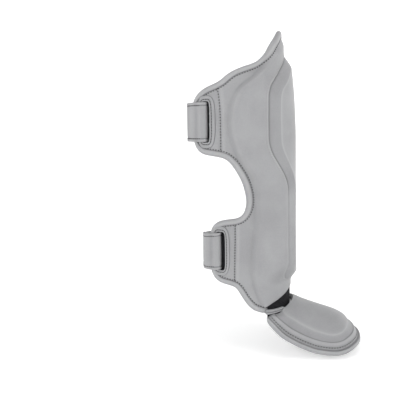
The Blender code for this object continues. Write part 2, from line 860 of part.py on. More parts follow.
def rear_line(inset):
    """The foot pad's rear edge in plan, round the webbing, from the side to the centre."""
    points = []
    for around in (0.27, 0.23, 0.19, 0.15, 0.10, 0.05):
        place = wall_point(around, CORNER_HEIGHT, webbing_out(around) + WEBBING_THICKNESS / 2 + GAP + inset)
        points.append((place.x, place.y))
    centre = wall_point(0.0, CORNER_HEIGHT, webbing_out(0.0) + WEBBING_THICKNESS / 2 + GAP + inset)
    return points, (0.0, centre.y)


def foot_outline(rows, inset):
    """A closed plan outline: toe centre, one side, rear edge, the other side."""
    half = [foot_point(across, along) for across, along in zip(rows["across"], rows["along"])]
    rear, centre = rear_line(inset)
    half = half + rear
    mirrored = [(-x, y) for x, y in half[:0:-1]]
    return curve_through(half + [centre] + mirrored, closed=True)[0]


def foot_rings():
    count = FOOT_STEPS
    edge, crest = foot_outline(FOOT_EDGE, GAP), foot_outline(FOOT_CREST, FOOT_CREST_INSET)
    middle = np.array([0.0, FOOT_REAR + 0.55 * (FOOT_TOE - FOOT_REAR)])
    outer = np.array([edge(i / count) for i in range(count)])
    raised = np.array([crest(i / count) for i in range(count)])

    def ring(plan, height):
        return [Vector((x, y, height(x, y, i))) for i, (x, y) in enumerate(plan)]

    def top(x, y, i):
        return foot_top(x, y)

    crest_height = np.array([foot_top(*raised[i]) for i in range(count)])
    edge_height = np.array([foot_edge_height(*outer[i]) for i in range(count)])
    groove = raised + (outer - raised) * FOOT_GROOVE_SHARE
    groove_height = edge_height + (crest_height - edge_height) * FOOT_GROOVE_SHARE
    groove_height = np.maximum(crest_height - FOOT_RAISE, groove_height)
    inward = outer + (middle - outer) * FLANGE_WALL / FOOT_HALF_WIDTH
    over = [ring(middle + (raised - middle) * share, top) for share in (0.12, 0.4, 0.7, 0.93)]
    over += [
        ring(raised + (groove - raised) * 0.3, lambda x, y, i: crest_height[i] - FOOT_RAISE * 0.25),
        ring(groove, lambda x, y, i: groove_height[i]),
        ring(groove + (outer - groove) * 0.6, lambda x, y, i: (groove_height[i] + edge_height[i]) / 2),
    ]
    hollow = np.maximum(crest_height - FOOT_PADDING, edge_height - FLANGE_DROP)
    under = [
        ring(groove + (inward - outer), lambda x, y, i: min(groove_height[i], hollow[i]) - FLANGE_DROP),
    ]
    under += [
        ring(middle + (raised - middle) * share, lambda x, y, i: foot_top(x, y) - FOOT_PADDING)
        for share in (0.75, 0.4, 0.12)
    ]
    level = [ring(plan, lambda x, y, i: edge_height[i]) for plan in (outer, inward)]
    return over, level[0], level[1], under


def make_foot_pad(rings):
    mesh = bpy.data.meshes.new("foot_pad")
    count = len(rings[0])
    points = [point for ring in rings for point in ring]
    faces = []
    for r in range(len(rings) - 1):
        for i in range(count):
            j = (i + 1) % count
            faces.append((r * count + i, (r + 1) * count + i, (r + 1) * count + j, r * count + j))
    faces.append(tuple(range(count)))
    last = (len(rings) - 1) * count
    faces.append(tuple(range(last + count - 1, last - 1, -1)))
    mesh.from_pydata(points, [], faces)
    body = bmesh.new()
    body.from_mesh(mesh)
    bmesh.ops.recalc_face_normals(body, faces=body.faces)
    body.to_mesh(mesh)
    body.free()
    leather("foot_pad", mesh)


def make_foot_binding(edge):
    """The strip under the flange's edge, from one rear corner to the other. It hangs lower where the edge
    is steep, so that it clears the flange.
    """
    points = []
    for i, point in enumerate(edge):
        along = (edge[(i + 1) % len(edge)] - edge[i - 1]).normalized()
        level = max(math.hypot(along.x, along.y), 0.5)
        points.append(point - Vector((0, 0, (FOOT_BINDING_RADIUS + GAP) / level)))
    wide = [i for i in range(len(edge) // 2) if edge[i].x > FOOT_HALF_WIDTH * 0.9]
    corner = wide[-1]
    tube("foot_binding", points[-corner:] + points[: corner + 1], FOOT_BINDING_RADIUS)


def make_foot():
    over, edge, inward, under = foot_rings()
    make_foot_pad(over + [edge, inward] + under)
    make_foot_binding(edge)


for leftover in list(bpy.data.objects):
    bpy.data.objects.remove(leftover, do_unlink=True)
guard = bpy.data.collections.new("shin_guard")
cutters = bpy.data.collections.new("cutters")
for collection in (guard, cutters):
    bpy.context.scene.collection.children.link(collection)
cutters.hide_render = True

make_shell()
make_edge_binding()
make_strap("upper_strap", UPPER_SLOT_AROUND, UPPER_STRAP_HEIGHT)
make_strap("lower_strap", LOWER_SLOT_AROUND, LOWER_STRAP_HEIGHT, LOWER_STRAP_DROP, LOWER_STRAP_TAPER)
make_slot_patch("upper_slot_patch", UPPER_SLOT_AROUND, UPPER_STRAP_HEIGHT)
make_slot_patch("lower_slot_patch", LOWER_SLOT_AROUND, LOWER_STRAP_HEIGHT)
make_ankle_webbing()
make_ankle_tab("ankle_tab_left", -1)
make_ankle_tab("ankle_tab_right", 1)
make_foot()
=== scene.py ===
import math

import bpy
import numpy as np
from mathutils import Matrix, Vector


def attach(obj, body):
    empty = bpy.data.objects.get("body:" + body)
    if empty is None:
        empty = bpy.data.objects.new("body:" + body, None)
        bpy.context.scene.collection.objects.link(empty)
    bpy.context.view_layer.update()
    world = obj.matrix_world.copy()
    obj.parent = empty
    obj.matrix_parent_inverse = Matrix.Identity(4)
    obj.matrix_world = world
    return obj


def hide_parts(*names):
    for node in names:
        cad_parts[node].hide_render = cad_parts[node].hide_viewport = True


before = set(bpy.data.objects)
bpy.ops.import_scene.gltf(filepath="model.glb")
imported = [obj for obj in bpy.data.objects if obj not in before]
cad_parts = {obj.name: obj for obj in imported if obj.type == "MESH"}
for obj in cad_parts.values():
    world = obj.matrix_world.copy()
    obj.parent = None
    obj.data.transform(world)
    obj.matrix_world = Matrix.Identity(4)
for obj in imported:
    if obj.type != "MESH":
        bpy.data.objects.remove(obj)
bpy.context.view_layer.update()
bpy.ops.object.select_all(action="DESELECT")

# camera, lights and floor

camera = {
    "place": (-0.8001, -0.0761, 0.1050),
    "turn": 5.91,
    "tip": -5.12,
    "roll": -0.48,
    "lens": 44.29,
    "shift": (-0.06, -0.08),
}
studio = {
    "floorHeight": -0.2475,
    # distance from the middle and rise: the floor turns up into a wall all round
    "floorProfile": (
        (0.0, 0.0), (1.2, 0.0), (2.0, 0.0), (2.4, 0.03), (2.7, 0.12), (2.95, 0.3), (3.1, 0.6), (3.2, 1.2),
        (3.2, 3.4),
    ),
    "floorRings": 60,
    "floorColumns": 65,
    "floorTone": (0.90, 0.90, 0.90, 1),
    "floorPatches": (0.92, 0.92, 0.92, 1),
    "floorGlow": 0.35,
    "worldGlow": 0.20,
    # place, what it points at, side in metres, watts
    "lamps": {
        "topLamp": ((-0.5, -0.5, 2.1), (0, -0.05, 0.0), 1.6, 10.5),
        "frontLamp": ((-0.9, -1.9, 0.9), (0, -0.05, 0.0), 1.1, 3.2),
        "sideLamp": ((-1.7, 1.0, 1.3), (0, -0.05, 0.0), 1.3, 8),
        "backLamp": ((1.5, 1.3, 1.1), (0, -0.05, 0.0), 1.2, 4),
    },
}


def setCamera():
    turn, tip, roll = (math.radians(camera[key]) for key in ("turn", "tip", "roll"))
    ahead = Vector((math.cos(turn) * math.cos(tip), math.sin(turn) * math.cos(tip), math.sin(tip)))
    right = ahead.cross(Vector((0, 0, 1))).normalized()
    up = right.cross(ahead)
    right, up = right * math.cos(roll) + up * math.sin(roll), up * math.cos(roll) - right * math.sin(roll)
    bpy.ops.object.camera_add()
    eye = bpy.context.object
    axes = Matrix((right, up, -ahead)).transposed().to_4x4()
    eye.matrix_world = Matrix.Translation(camera["place"]) @ axes
    eye.data.lens = camera["lens"]
    eye.data.shift_x, eye.data.shift_y = camera["shift"]
    bpy.context.scene.camera = eye


def setLamps():
    for name, (place, target, side, watts) in studio["lamps"].items():
        bpy.ops.object.light_add(type="AREA", location=place)
        lamp = bpy.context.object
        lamp.name = name
        lamp.data.shape = "DISK"
        lamp.data.size = side
        lamp.data.energy = watts
        lamp.rotation_euler = (Vector(target) - Vector(place)).to_track_quat("-Z", "Y").to_euler()
    world = bpy.data.worlds.new("paleRoom")
    world.use_nodes = True
    world.node_tree.nodes["Background"].inputs["Color"].default_value = (1, 1, 1, 1)
    world.node_tree.nodes["Background"].inputs["Strength"].default_value = studio["worldGlow"]
    bpy.context.scene.world = world
    bpy.context.scene.view_settings.view_transform = "Standard"


# mesh helpers: a grid primitive is added, and its points are moved to their places

joinDistance = 0.000002


def makeActive(piece):
    bpy.ops.object.select_all(action="DESELECT")
    piece.select_set(True)
    bpy.context.view_layer.objects.active = piece


def gridPiece(name, points, uv=None, paintedShading=None):
    rows, columns = points.shape[:2]
    bpy.ops.object.select_all(action="DESELECT")
    bpy.ops.mesh.primitive_grid_add(x_subdivisions=columns - 1, y_subdivisions=rows - 1, size=2)
    piece = bpy.context.object
    piece.name = piece.data.name = name
    mesh = piece.data
    start = np.empty(len(mesh.vertices) * 3)
    mesh.vertices.foreach_get("co", start)
    start = start.reshape(-1, 3)
    column = np.rint((start[:, 0] + 1) / 2 * (columns - 1)).astype(int)
    row = np.rint((start[:, 1] + 1) / 2 * (rows - 1)).astype(int)
    mesh.vertices.foreach_set("co", points[row, column].astype(float).ravel())
    if uv is not None:
        corner = np.empty(len(mesh.loops), int)
        mesh.loops.foreach_get("vertex_index", corner)
        mesh.uv_layers[0].data.foreach_set("uv", uv[row[corner], column[corner]].astype(float).ravel())
    # per point painted shading: above nought a painted shade, below nought a painted highlight
    if paintedShading is not None:
        shade = mesh.attributes.new("paintedShading", "FLOAT", "POINT")
        shade.data.foreach_set("value", paintedShading[row, column].astype(float).ravel())
    mesh.update()
    bpy.ops.object.shade_smooth()
    return piece


def closeSeams(piece, turnOut=True):
    makeActive(piece)
    bpy.ops.object.mode_set(mode="EDIT")
    bpy.ops.mesh.select_all(action="SELECT")
    bpy.ops.mesh.remove_doubles(threshold=joinDistance)
    if turnOut:
        bpy.ops.mesh.normals_make_consistent(inside=False)
    bpy.ops.object.mode_set(mode="OBJECT")
    return piece


# an open sheet round the leg has its faces turned away from the leg's axis
def faceOut(piece, axisDepth=-0.02):
    mesh = piece.data
    normals = np.empty(len(mesh.polygons) * 3)
    centres = np.empty(len(mesh.polygons) * 3)
    mesh.polygons.foreach_get("normal", normals)
    mesh.polygons.foreach_get("center", centres)
    away = centres.reshape(-1, 3) - (0, axisDepth, 0)
    away[:, 2] = 0
    if (normals.reshape(-1, 3) * away).sum() < 0:
        mesh.flip_normals()
    return piece


def giveWall(piece, thickness, offset):
    makeActive(piece)
    wall = piece.modifiers.new("wall", "SOLIDIFY")
    wall.thickness = thickness
    wall.offset = offset
    bpy.ops.object.modifier_apply(modifier=wall.name)
    return piece


# a closed section carried along a line, with both ends closed unless the line is a loop
def sweepPiece(name, sections, paintedShading, loop=False):
    paintedShading = np.broadcast_to(paintedShading, sections.shape[:2])
    sections = np.concatenate([sections, sections[:, :1]], axis=1)
    paintedShading = np.concatenate([paintedShading, paintedShading[:, :1]], axis=1)
    if loop:
        sections = np.concatenate([sections, sections[:1]])
        paintedShading = np.concatenate([paintedShading, paintedShading[:1]])
    else:
        ends = [np.broadcast_to(sections[i, :-1].mean(0), sections[i].shape)[None] for i in (0, -1)]
        sections = np.concatenate([ends[0], sections, ends[1]])
        paintedShading = np.concatenate([paintedShading[:1], paintedShading, paintedShading[-1:]])
    run = np.cumsum(np.r_[0, np.linalg.norm(np.diff(sections.mean(1), axis=0), axis=1)])
    around = np.cumsum(np.r_[0, np.linalg.norm(np.diff(sections[len(sections) // 2], axis=0), axis=1)])
    uv = np.stack(np.broadcast_arrays(run[:, None], around[None, :]), -1)
    return closeSeams(gridPiece(name, sections, uv, paintedShading))


def finishPiece(piece, material, slot, *nodes):
    piece.data.materials.clear()
    piece.data.materials.append(material)
    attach(piece, "root")
    if nodes:
        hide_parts(*nodes)
    return piece


# smooth lines

def ease(x):
    x = np.clip(x, 0, 1)
    return x * x * (3 - 2 * x)


# the value beside each place in a two-column table, on a smooth curve with no bumps between rows
def follow(rows, at):
    rows = np.array(rows, float)
    if rows[0, 0] > rows[-1, 0]:
        rows = rows[::-1]
    x, y = rows[:, 0], rows[:, 1]
    at = np.clip(at, x[0], x[-1])
    step = np.diff(y) / np.diff(x)
    both = step[1:] * step[:-1]
    total = step[1:] + step[:-1]
    inner = np.where(both > 0, 2 * both / np.where(np.abs(total) < 1e-12, 1, total), 0)
    slope = np.r_[step[0], inner, step[-1]]
    i = np.clip(np.searchsorted(x, at, side="right") - 1, 0, len(x) - 2)
    run = x[i + 1] - x[i]
    t = (at - x[i]) / run
    bend = slope[i] * run * t * (1 - t) ** 2 + slope[i + 1] * run * t * t * (t - 1)
    return y[i] * (1 + 2 * t) * (1 - t) ** 2 + y[i + 1] * t * t * (3 - 2 * t) + bend


curveSteps = 24


# count points, evenly spaced, on a smooth curve through the given ones
def curveThrough(points, count, loop=False):
    points = np.array(points, float)
    if loop:
        points = np.vstack([points[-1:], points, points[:2]])
    else:
        points = np.vstack([2 * points[0] - points[1], points, 2 * points[-1] - points[-2]])
    chord = np.maximum(np.sqrt(np.linalg.norm(np.diff(points, axis=0), axis=1)), 1e-6)
    knots = np.r_[0, np.cumsum(chord)]
    line = []
    for i in range(1, len(points) - 2):
        at = np.linspace(knots[i], knots[i + 1], curveSteps, endpoint=False)[:, None]
        level = [points[i - 1 + j] for j in range(4)]
        k = knots[i - 1 : i + 3]
        for reach in (1, 2):
            level = [
                (level[j] * (k[j + reach] - at) + level[j + 1] * (at - k[j])) / (k[j + reach] - k[j])
                for j in range(4 - reach)
            ]
        line.append((level[0] * (k[2] - at) + level[1] * (at - k[1])) / (k[2] - k[1]))
    line = np.vstack(line + [points[-2:-1]])
    return evenly(line, count, loop)


def evenly(line, count, loop=False):
    length = np.r_[0, np.cumsum(np.linalg.norm(np.diff(line, axis=0), axis=1))]
    at = np.linspace(0, length[-1], count, endpoint=not loop)
    return np.stack([np.interp(at, length, line[:, k]) for k in range(line.shape[1])], 1)


def lineLength(line):
    return np.linalg.norm(np.diff(line, axis=0), axis=1).sum()


def alongLine(line, loop=False):
    step = np.roll(line, -1, 0) - np.roll(line, 1, 0) if loop else np.gradient(line, axis=0)
    return step / np.linalg.norm(step, axis=1)[:, None]


# the direction to the right of a flat line, at each of its points
def rightOf(line, loop=False):
    along = alongLine(line, loop)
    return np.stack([along[:, 1], -along[:, 0]], 1)


# raises the size of a number to a power and keeps its sign
def signedPower(value, power):
    return np.copysign(np.abs(value) ** power, value)


# the leg side of the shell, laid out by how far round the leg and how high a place is

leg = {
    "calfHalfWidth": 0.070,
    "calfFront": 0.060,
    "tipFront": 0.069,
    "calfBack": 0.0635,
    "ankleHalfWidth": 0.049,
    "ankleFront": 0.071,
    "ankleBack": 0.045,
    "ankleForward": 0.025,
    "calfFrom": 0.065,
    "ankleTo": -0.035,
    "frontRoundness": 2.1,
    "domeRoundness": 3.0,
    "domeFrom": 0.175,
    "domeTo": 0.215,
    "backRoundness": 2.6,
    "rowPoints": 721,
}
gridStep = 0.001
gridHeights = np.arange(-0.215, 0.2661, gridStep)
gridColumns = 400
gridShares = np.linspace(0, 1, gridColumns + 1)
insideGrid = 0.001  # keeps the last row and column within the grid


# 0 at the ankle and 1 at the calf
def calfPart(height):
    return ease((height - leg["ankleTo"]) / (leg["calfFrom"] - leg["ankleTo"]))


# half the width, and the depth at which the leg is widest
def widestPlace(part):
    half = leg["ankleHalfWidth"] + (leg["calfHalfWidth"] - leg["ankleHalfWidth"]) * part
    return half, -leg["ankleForward"] * (1 - part)


def legRow(height):
    part = calfPart(height)
    half, widest = widestPlace(part)
    dome = ease((height - leg["domeFrom"]) / (leg["domeTo"] - leg["domeFrom"]))
    front = widest + leg["ankleFront"] + (leg["calfFront"] - leg["ankleFront"]) * part
    front += (leg["tipFront"] - leg["calfFront"]) * dome
    frontPower = 2 / (leg["frontRoundness"] + (leg["domeRoundness"] - leg["frontRoundness"]) * dome)
    back = leg["ankleBack"] + (leg["calfBack"] - leg["ankleBack"]) * part - widest
    turn = np.linspace(0, math.pi, leg["rowPoints"])
    power = np.where(turn < math.pi / 2, frontPower, 2 / leg["backRoundness"])
    x = half * np.sin(turn) ** power
    reach = np.abs(np.cos(turn)) ** power
    y = np.where(turn < math.pi / 2, widest - front * reach, widest + back * reach)
    x[-1] = 0
    distance = np.r_[0, np.cumsum(np.hypot(np.diff(x), np.diff(y)))]
    alongX, alongY = np.gradient(x, distance), np.gradient(y, distance)
    alongY[0] = alongY[-1] = 0
    length = np.hypot(alongX, alongY)
    at = gridShares * distance[-1]
    columns = (x, y, alongY / length, -alongX / length)
    return np.stack([np.interp(at, distance, values) for values in columns], 1), distance[-1]


madeRows = [legRow(height) for height in gridHeights]
legGrid = np.array([row for row, turn in madeRows])
legTurns = np.array([turn for row, turn in madeRows])


def halfTurn(height):
    return np.interp(height, gridHeights, legTurns)


def onLeg(around, height, out=0.0):
    around, height, out = (v.astype(float) for v in np.broadcast_arrays(around, height, out))
    side = np.where(around >= 0, 1.0, -1.0)
    share = np.abs(around)
    side = np.where(share > 1, -side, side)
    share = np.where(share > 1, 2 - share, share)
    out = out + flare(share, height)
    row = np.clip((height - gridHeights[0]) / gridStep, 0, len(gridHeights) - 1 - insideGrid)
    column = np.clip(share * gridColumns, 0, gridColumns - insideGrid)
    i, j = row.astype(int), column.astype(int)
    f, g = (row - i)[..., None], (column - j)[..., None]
    low = legGrid[i, j] * (1 - g) + legGrid[i, j + 1] * g
    high = legGrid[i + 1, j] * (1 - g) + legGrid[i + 1, j + 1] * g
    x, y, outX, outY = np.moveaxis(low * (1 - f) + high * f, -1, 0)
    return np.stack([side * (x + outX * out), y + outY * out, height], -1)


def outward(around, height):
    away = onLeg(around, height, 1.0) - onLeg(around, height, 0.0)
    return away / np.linalg.norm(away, axis=-1)[..., None]


def gridRow(height):
    return legGrid[int(np.clip(round((height - gridHeights[0]) / gridStep), 0, len(gridHeights) - 1))]


# how far round the leg a place lies that has this half width, or this depth, at a height
def aroundAtWidth(width, height, out):
    row = gridRow(height)[: gridColumns // 2]
    return float(np.interp(width, row[:, 0] + row[:, 2] * out, gridShares[: len(row)]))


def aroundAtDepth(depth, height, out):
    row = gridRow(height)
    return float(np.interp(depth, row[:, 1] + row[:, 3] * out, gridShares))


# the shell

shell = {
    "cornerHeight": -0.174,
    "tipHeight": 0.244,
    "shoulderHeight": 0.2285,
    "frontEdgeHeight": -0.1490,
    "wing": 0.004,
    "rim": 0.0066,
    "rimRun": 0.017,
    "depth": 0.092,
    "calfFoamSide": 0.012,
    "ankleFoamSide": 0.010,
    "foamEdgeRun": 0.009,
    "foamFrontShare": 0.32,
    "boxyFrom": 0.085,
    "boxyRun": 0.075,
    "boxyEnd": -0.140,
    "boxyEndRun": 0.040,
    "boxyPower": 6.0,
    "boxyMost": 0.08,
    "boxyHalvings": 26,
    "lowEdgeRound": 0.003,
    "sideFlare": 0.005,
    "flareRun": 0.022,
    "flareHeight": 0.015,
    "flareReach": 0.062,
    "coverWall": 0.0012,
    "liningWall": 0.0010,
    # the grid's rows rise to the dome above domeFrom, and to the front's low edge below lowFrom
    "domeFrom": 0.150,
    "lowFrom": -0.100,
    "edgePoints": 1000,
    "rowStep": 0.0025,
    "rimStep": 0.0022,
    "rimSmoothing": 3,
    "widestRow": 33,  # the row of the edge table where the upper wing is widest
    "frontColumns": 34,
    "frontColumnsTo": 0.28,
    "frontColumnsMost": 0.7,
    "wingColumns": 34,
    # the cover goes on under the low edge, at these shares of its thickness there
    "underEdge": (0.0, 0.3, 0.6, 0.85),
    # painted shade on the cover where it turns under the low edge
    "underShade": 0.6,
    # the shade where the foam ends on the wings
    "foamShade": 0.13,
    "foamShadeAt": 0.001,
    "foamShadeRun": 0.0022,
    # share of the height, share of the half turn: the near side's edge from low corner to shoulder
    "edge": (
        (0.000, 0.300), (0.005, 0.335), (0.015, 0.373), (0.034, 0.413), (0.058, 0.450), (0.078, 0.480),
        (0.093, 0.510), (0.101, 0.550), (0.106, 0.606), (0.113, 0.670), (0.129, 0.710), (0.160, 0.732),
        (0.205, 0.737), (0.250, 0.734), (0.282, 0.722), (0.301, 0.690), (0.312, 0.635), (0.317, 0.565),
        (0.322, 0.505), (0.335, 0.450), (0.360, 0.410), (0.388, 0.388), (0.420, 0.380), (0.456, 0.382),
        (0.494, 0.395), (0.524, 0.418), (0.551, 0.448), (0.570, 0.492), (0.578, 0.545), (0.583, 0.608),
        (0.588, 0.655), (0.602, 0.695), (0.638, 0.733), (0.690, 0.751), (0.735, 0.738), (0.763, 0.700),
        (0.780, 0.655), (0.793, 0.605), (0.803, 0.555), (0.817, 0.508), (0.837, 0.465), (0.851, 0.421),
        (0.861, 0.375), (0.870, 0.330), (0.882, 0.295), (0.900, 0.268), (0.921, 0.243), (0.945, 0.211),
        (0.963, 0.175),
    ),
    # the far wing at the ankle is smaller
    "farEdge": (
        (0.000, 0.730), (0.130, 0.720), (0.177, 0.718), (0.206, 0.708), (0.228, 0.688), (0.242, 0.652),
        (0.254, 0.606), (0.265, 0.556), (0.276, 0.510), (0.287, 0.470), (0.301, 0.432), (0.319, 0.405),
        (0.347, 0.390), (0.386, 0.384), (0.420, 0.800),
    ),
    # share of the way from the front to the corner, share of the rise
    "domeTop": ((0.00, 1.00), (0.28, 0.94), (0.61, 0.65), (0.82, 0.33), (1.00, 0.00)),
    "lowEdge": ((0.00, 1.00), (0.17, 0.93), (0.37, 0.74), (0.63, 0.46), (0.83, 0.24), (1.00, 0.00)),
    # share of the height, share of the depth: the front of the foam
    "frontLine": (
        (0.000, 1.000), (0.085, 1.000), (0.140, 0.980), (0.187, 0.973), (0.416, 0.968), (0.608, 0.967),
        (0.761, 0.942), (0.837, 0.914), (0.895, 0.885), (0.930, 0.875), (0.962, 0.872), (1.000, 0.868),
    ),
    # share of the height, share of the half turn: where the foam ends on the wings
    "foamEdge": (
        (0.000, 0.310), (0.048, 0.360), (0.096, 0.391), (0.151, 0.406), (0.215, 0.403), (0.259, 0.391),
        (0.313, 0.383), (0.360, 0.378), (0.405, 0.372), (0.450, 0.372), (0.495, 0.386), (0.535, 0.413),
        (0.568, 0.440), (0.599, 0.461), (0.642, 0.483), (0.680, 0.491), (0.721, 0.484), (0.768, 0.461),
        (0.805, 0.420), (0.829, 0.362), (0.857, 0.308), (0.880, 0.282), (0.900, 0.296), (0.930, 0.335),
        (1.000, 0.380),
    ),
}
shell["rise"] = shell["tipHeight"] - shell["cornerHeight"]
rimRows = shell["edge"][shell["widestRow"]:]  # from the wing's widest place up to the shoulder


def heightShare(height):
    return (height - shell["cornerHeight"]) / shell["rise"]


def edgeAround(table, height):
    return follow(shell[table], heightShare(height))


def flare(share, height):
    nearEdge = ease(1 - (edgeAround("edge", height) - share) * halfTurn(height) / shell["flareRun"])
    nearHeight = ease(1 - np.abs(height - shell["flareHeight"]) / shell["flareReach"])
    return shell["sideFlare"] * nearEdge * nearHeight


def topHeight(share):
    corner = shell["edge"][-1][1]
    rise = follow(shell["domeTop"], share / corner)
    dome = shell["shoulderHeight"] + (shell["tipHeight"] - shell["shoulderHeight"]) * rise
    rim = follow([(around, height) for height, around in rimRows], share)
    return np.where(share < corner, dome, shell["cornerHeight"] + rim * shell["rise"])


def lowHeight(share):
    rise = follow(shell["lowEdge"], np.minimum(share / shell["edge"][0][1], 1.0))
    return shell["cornerHeight"] + (shell["frontEdgeHeight"] - shell["cornerHeight"]) * rise


def foamWall(share, height):
    share, height = (v.astype(float) for v in np.broadcast_arrays(share, height))
    part = calfPart(height)
    frontDepth = np.interp(height, gridHeights, legGrid[:, 0, 1])
    depth = shell["depth"] * follow(shell["frontLine"], heightShare(height))
    front = depth + frontDepth
    side = shell["ankleFoamSide"] + (shell["calfFoamSide"] - shell["ankleFoamSide"]) * part
    rounded = side + (front - side) * (1 - ease(share / shell["foamFrontShare"]))
    boxy = ease((shell["boxyFrom"] - height) / shell["boxyRun"])
    boxy = boxy * ease((height - shell["boxyEnd"]) / shell["boxyEndRun"])
    return rounded + (boxWall(share, height, depth, part, side) - rounded) * boxy


# the foam's thickness where its front is flat and its corners are tight, from the leg side outwards
def boxWall(share, height, depth, part, side):
    place, ahead = onLeg(share, height, 0.0)[..., :2], outward(share, height)[..., :2]
    half, widest = widestPlace(part)
    half = half + side
    low, high = np.zeros(share.shape), np.full(share.shape, shell["boxyMost"])
    for i in range(shell["boxyHalvings"]):
        middle = (low + high) / 2
        x = (place[..., 0] + ahead[..., 0] * middle) / half
        y = np.minimum(place[..., 1] + ahead[..., 1] * middle - widest, 0) / (depth + widest)
        inside = np.abs(x) ** shell["boxyPower"] + np.abs(y) ** shell["boxyPower"] < 1
        low, high = np.where(inside, middle, low), np.where(inside, high, middle)
    return np.where(place[..., 1] > widest, side, middle)


def shellWall(around, height):
    share = np.abs(around)
    toEdge = (edgeAround("foamEdge", height) - share) * halfTurn(height)
    foam = ease(toEdge / shell["foamEdgeRun"])
    rim = ease((topHeight(share) - height) / shell["rimRun"])
    lowEdge = np.clip(1 - (height - lowHeight(share)) / shell["lowEdgeRound"], 0, 1)
    rounding = shell["lowEdgeRound"] * (1 - np.sqrt(1 - lowEdge**2))
    thin = shell["wing"] + (shell["rim"] - shell["wing"]) * foam
    return thin + (foamWall(share, height) - thin) * foam * rim - rounding * foam


# rows of places over the shell, each from the near edge round the front to the far edge
def shellRows():
    corners = []
    for share, around in shell["edge"]:
        height = shell["cornerHeight"] + share * shell["rise"]
        corners.append((around * halfTurn(height), height))
    fine = curveThrough(corners, shell["edgePoints"])
    line = evenly(fine, int(lineLength(fine) / shell["rowStep"]))
    height = line[:, 1]
    nearEdge = line[:, 0] / halfTurn(height)
    farEdge = np.minimum(nearEdge, edgeAround("farEdge", height))
    dome = shell["tipHeight"] - shell["shoulderHeight"]
    low = shell["frontEdgeHeight"] - shell["cornerHeight"]
    upper = ease((height - shell["domeFrom"]) / (shell["shoulderHeight"] - shell["domeFrom"]))[:, None]
    lower = ease((shell["lowFrom"] - height) / (shell["lowFrom"] - shell["cornerHeight"]))[:, None]
    sides = []
    for edge in (nearEdge, farEdge):
        front = np.minimum(shell["frontColumnsTo"], shell["frontColumnsMost"] * edge)[:, None]
        share = np.linspace(0, 1, shell["frontColumns"] + 1)[None, :]
        wing = np.linspace(0, 1, shell["wingColumns"] + 1)[None, 1:]
        around = np.concatenate([front * share, front + (edge[:, None] - front) * wing], axis=1)
        across = around / edge[:, None]
        lift = upper * dome * follow(shell["domeTop"], across)
        lift = lift + lower * low * follow(shell["lowEdge"], across)
        sides.append((around, height[:, None] + lift))
    (near, nearHeight), (far, farHeight) = sides
    around = np.concatenate([-near[:, :0:-1], far], axis=1)
    return around, np.concatenate([nearHeight[:, :0:-1], farHeight], axis=1)


# the rim from the near low corner over the dome to the far low corner, as distance round and height
def rimLine(around, height):
    share, level = (np.r_[grid[:, 0], grid[-1, 1:-1], grid[::-1, -1]] for grid in (around, height))
    line = np.stack([share * halfTurn(level), level], 1)
    for i in range(shell["rimSmoothing"]):
        line[1:-1] = (line[:-2] + 2 * line[1:-1] + line[2:]) / 4
    return evenly(line, int(lineLength(line) / shell["rimStep"]))


slots = {
    "upper": {"around": 0.634, "height": 0.112, "halfWidth": 0.0045},
    "lower": {"around": 0.6625, "height": -0.0845, "halfWidth": 0.0059},
}
slotHole = {
    "halfHeight": 0.0287,
    "spare": 0.0022,
    "reach": 0.012,
    # the lining's hole is smaller, and the cloth goes on behind the gap in front of the strap
    "liningHalfHeight": 0.0265,
    "liningFrontEnd": -0.003,
}


# opens the near wing at the strap slots; the rings lie over the hole's edge
def openSlots(piece, behindGap, halfHeight):
    makeActive(piece)
    bpy.ops.object.mode_set(mode="EDIT")
    bpy.ops.mesh.select_all(action="DESELECT")
    bpy.ops.object.mode_set(mode="OBJECT")
    for slot in slots.values():
        middle = onLeg(-slot["around"], slot["height"], shell["wing"] / 2)
        away = outward(-slot["around"], slot["height"])
        beside = np.array([-away[1], away[0], 0])
        half = slot["halfWidth"] + slotHole["spare"]
        frontEnd = slotHole["liningFrontEnd"] if behindGap else half
        for face in piece.data.polygons:
            offset = np.array(face.center) - middle
            across = offset @ beside
            if abs(offset @ away) < slotHole["reach"] and -half < across < frontEnd:
                if abs(offset[2]) < halfHeight:
                    face.select = True
    bpy.ops.object.mode_set(mode="EDIT")
    bpy.ops.mesh.delete(type="FACE")
    bpy.ops.object.mode_set(mode="OBJECT")


wingSeams = {
    # depth and height of each seam on the near wings, repeated on the far ones
    "upper": ((0.0162, 0.166), (0.0132, 0.148), (0.0116, 0.130), (0.0110, 0.100), (0.0110, 0.066)),
    "lower": ((-0.0073, -0.043), (-0.0070, -0.070), (-0.0062, -0.105), (-0.0058, -0.130)),
    "farTop": -0.052,  # the far lower seam ends here, because its wing is smaller
    "points": 60,
    # the soft ridge in front of each seam, and the groove along it; the ridge gets a painted highlight
    # and the groove a painted shade
    "ridgeAt": 0.0048,
    "ridgeRun": 0.0022,
    "grooveRun": 0.0013,
    "ridgeLift": 0.0005,
    "grooveDepth": 0.0004,
    "ridgeHighlight": 0.35,
    "grooveShade": 0.28,
}


def seamLine(name):
    seam = [(aroundAtDepth(depth, height, shell["wing"]), height) for depth, height in wingSeams[name]]
    return curveThrough(seam, wingSeams["points"])


# how far each place is in a seam's groove, and on the soft ridge in front of the seam
def seamShares(around, height):
    groove, ridge = np.zeros(around.shape), np.zeros(around.shape)
    for name in ("upper", "lower"):
        line = seamLine(name)[::-1]
        ahead = (np.interp(height, line[:, 1], line[:, 0]) - np.abs(around)) * halfTurn(height)
        ends = (height > line[0, 1]) & (height < line[-1, 1])
        if name == "lower":
            ends = ends & ((around < 0) | (height < wingSeams["farTop"]))
        groove += ends * np.exp(-((ahead / wingSeams["grooveRun"]) ** 2))
        ridge += ends * np.exp(-(((ahead - wingSeams["ridgeAt"]) / wingSeams["ridgeRun"]) ** 2))
    return groove, ridge


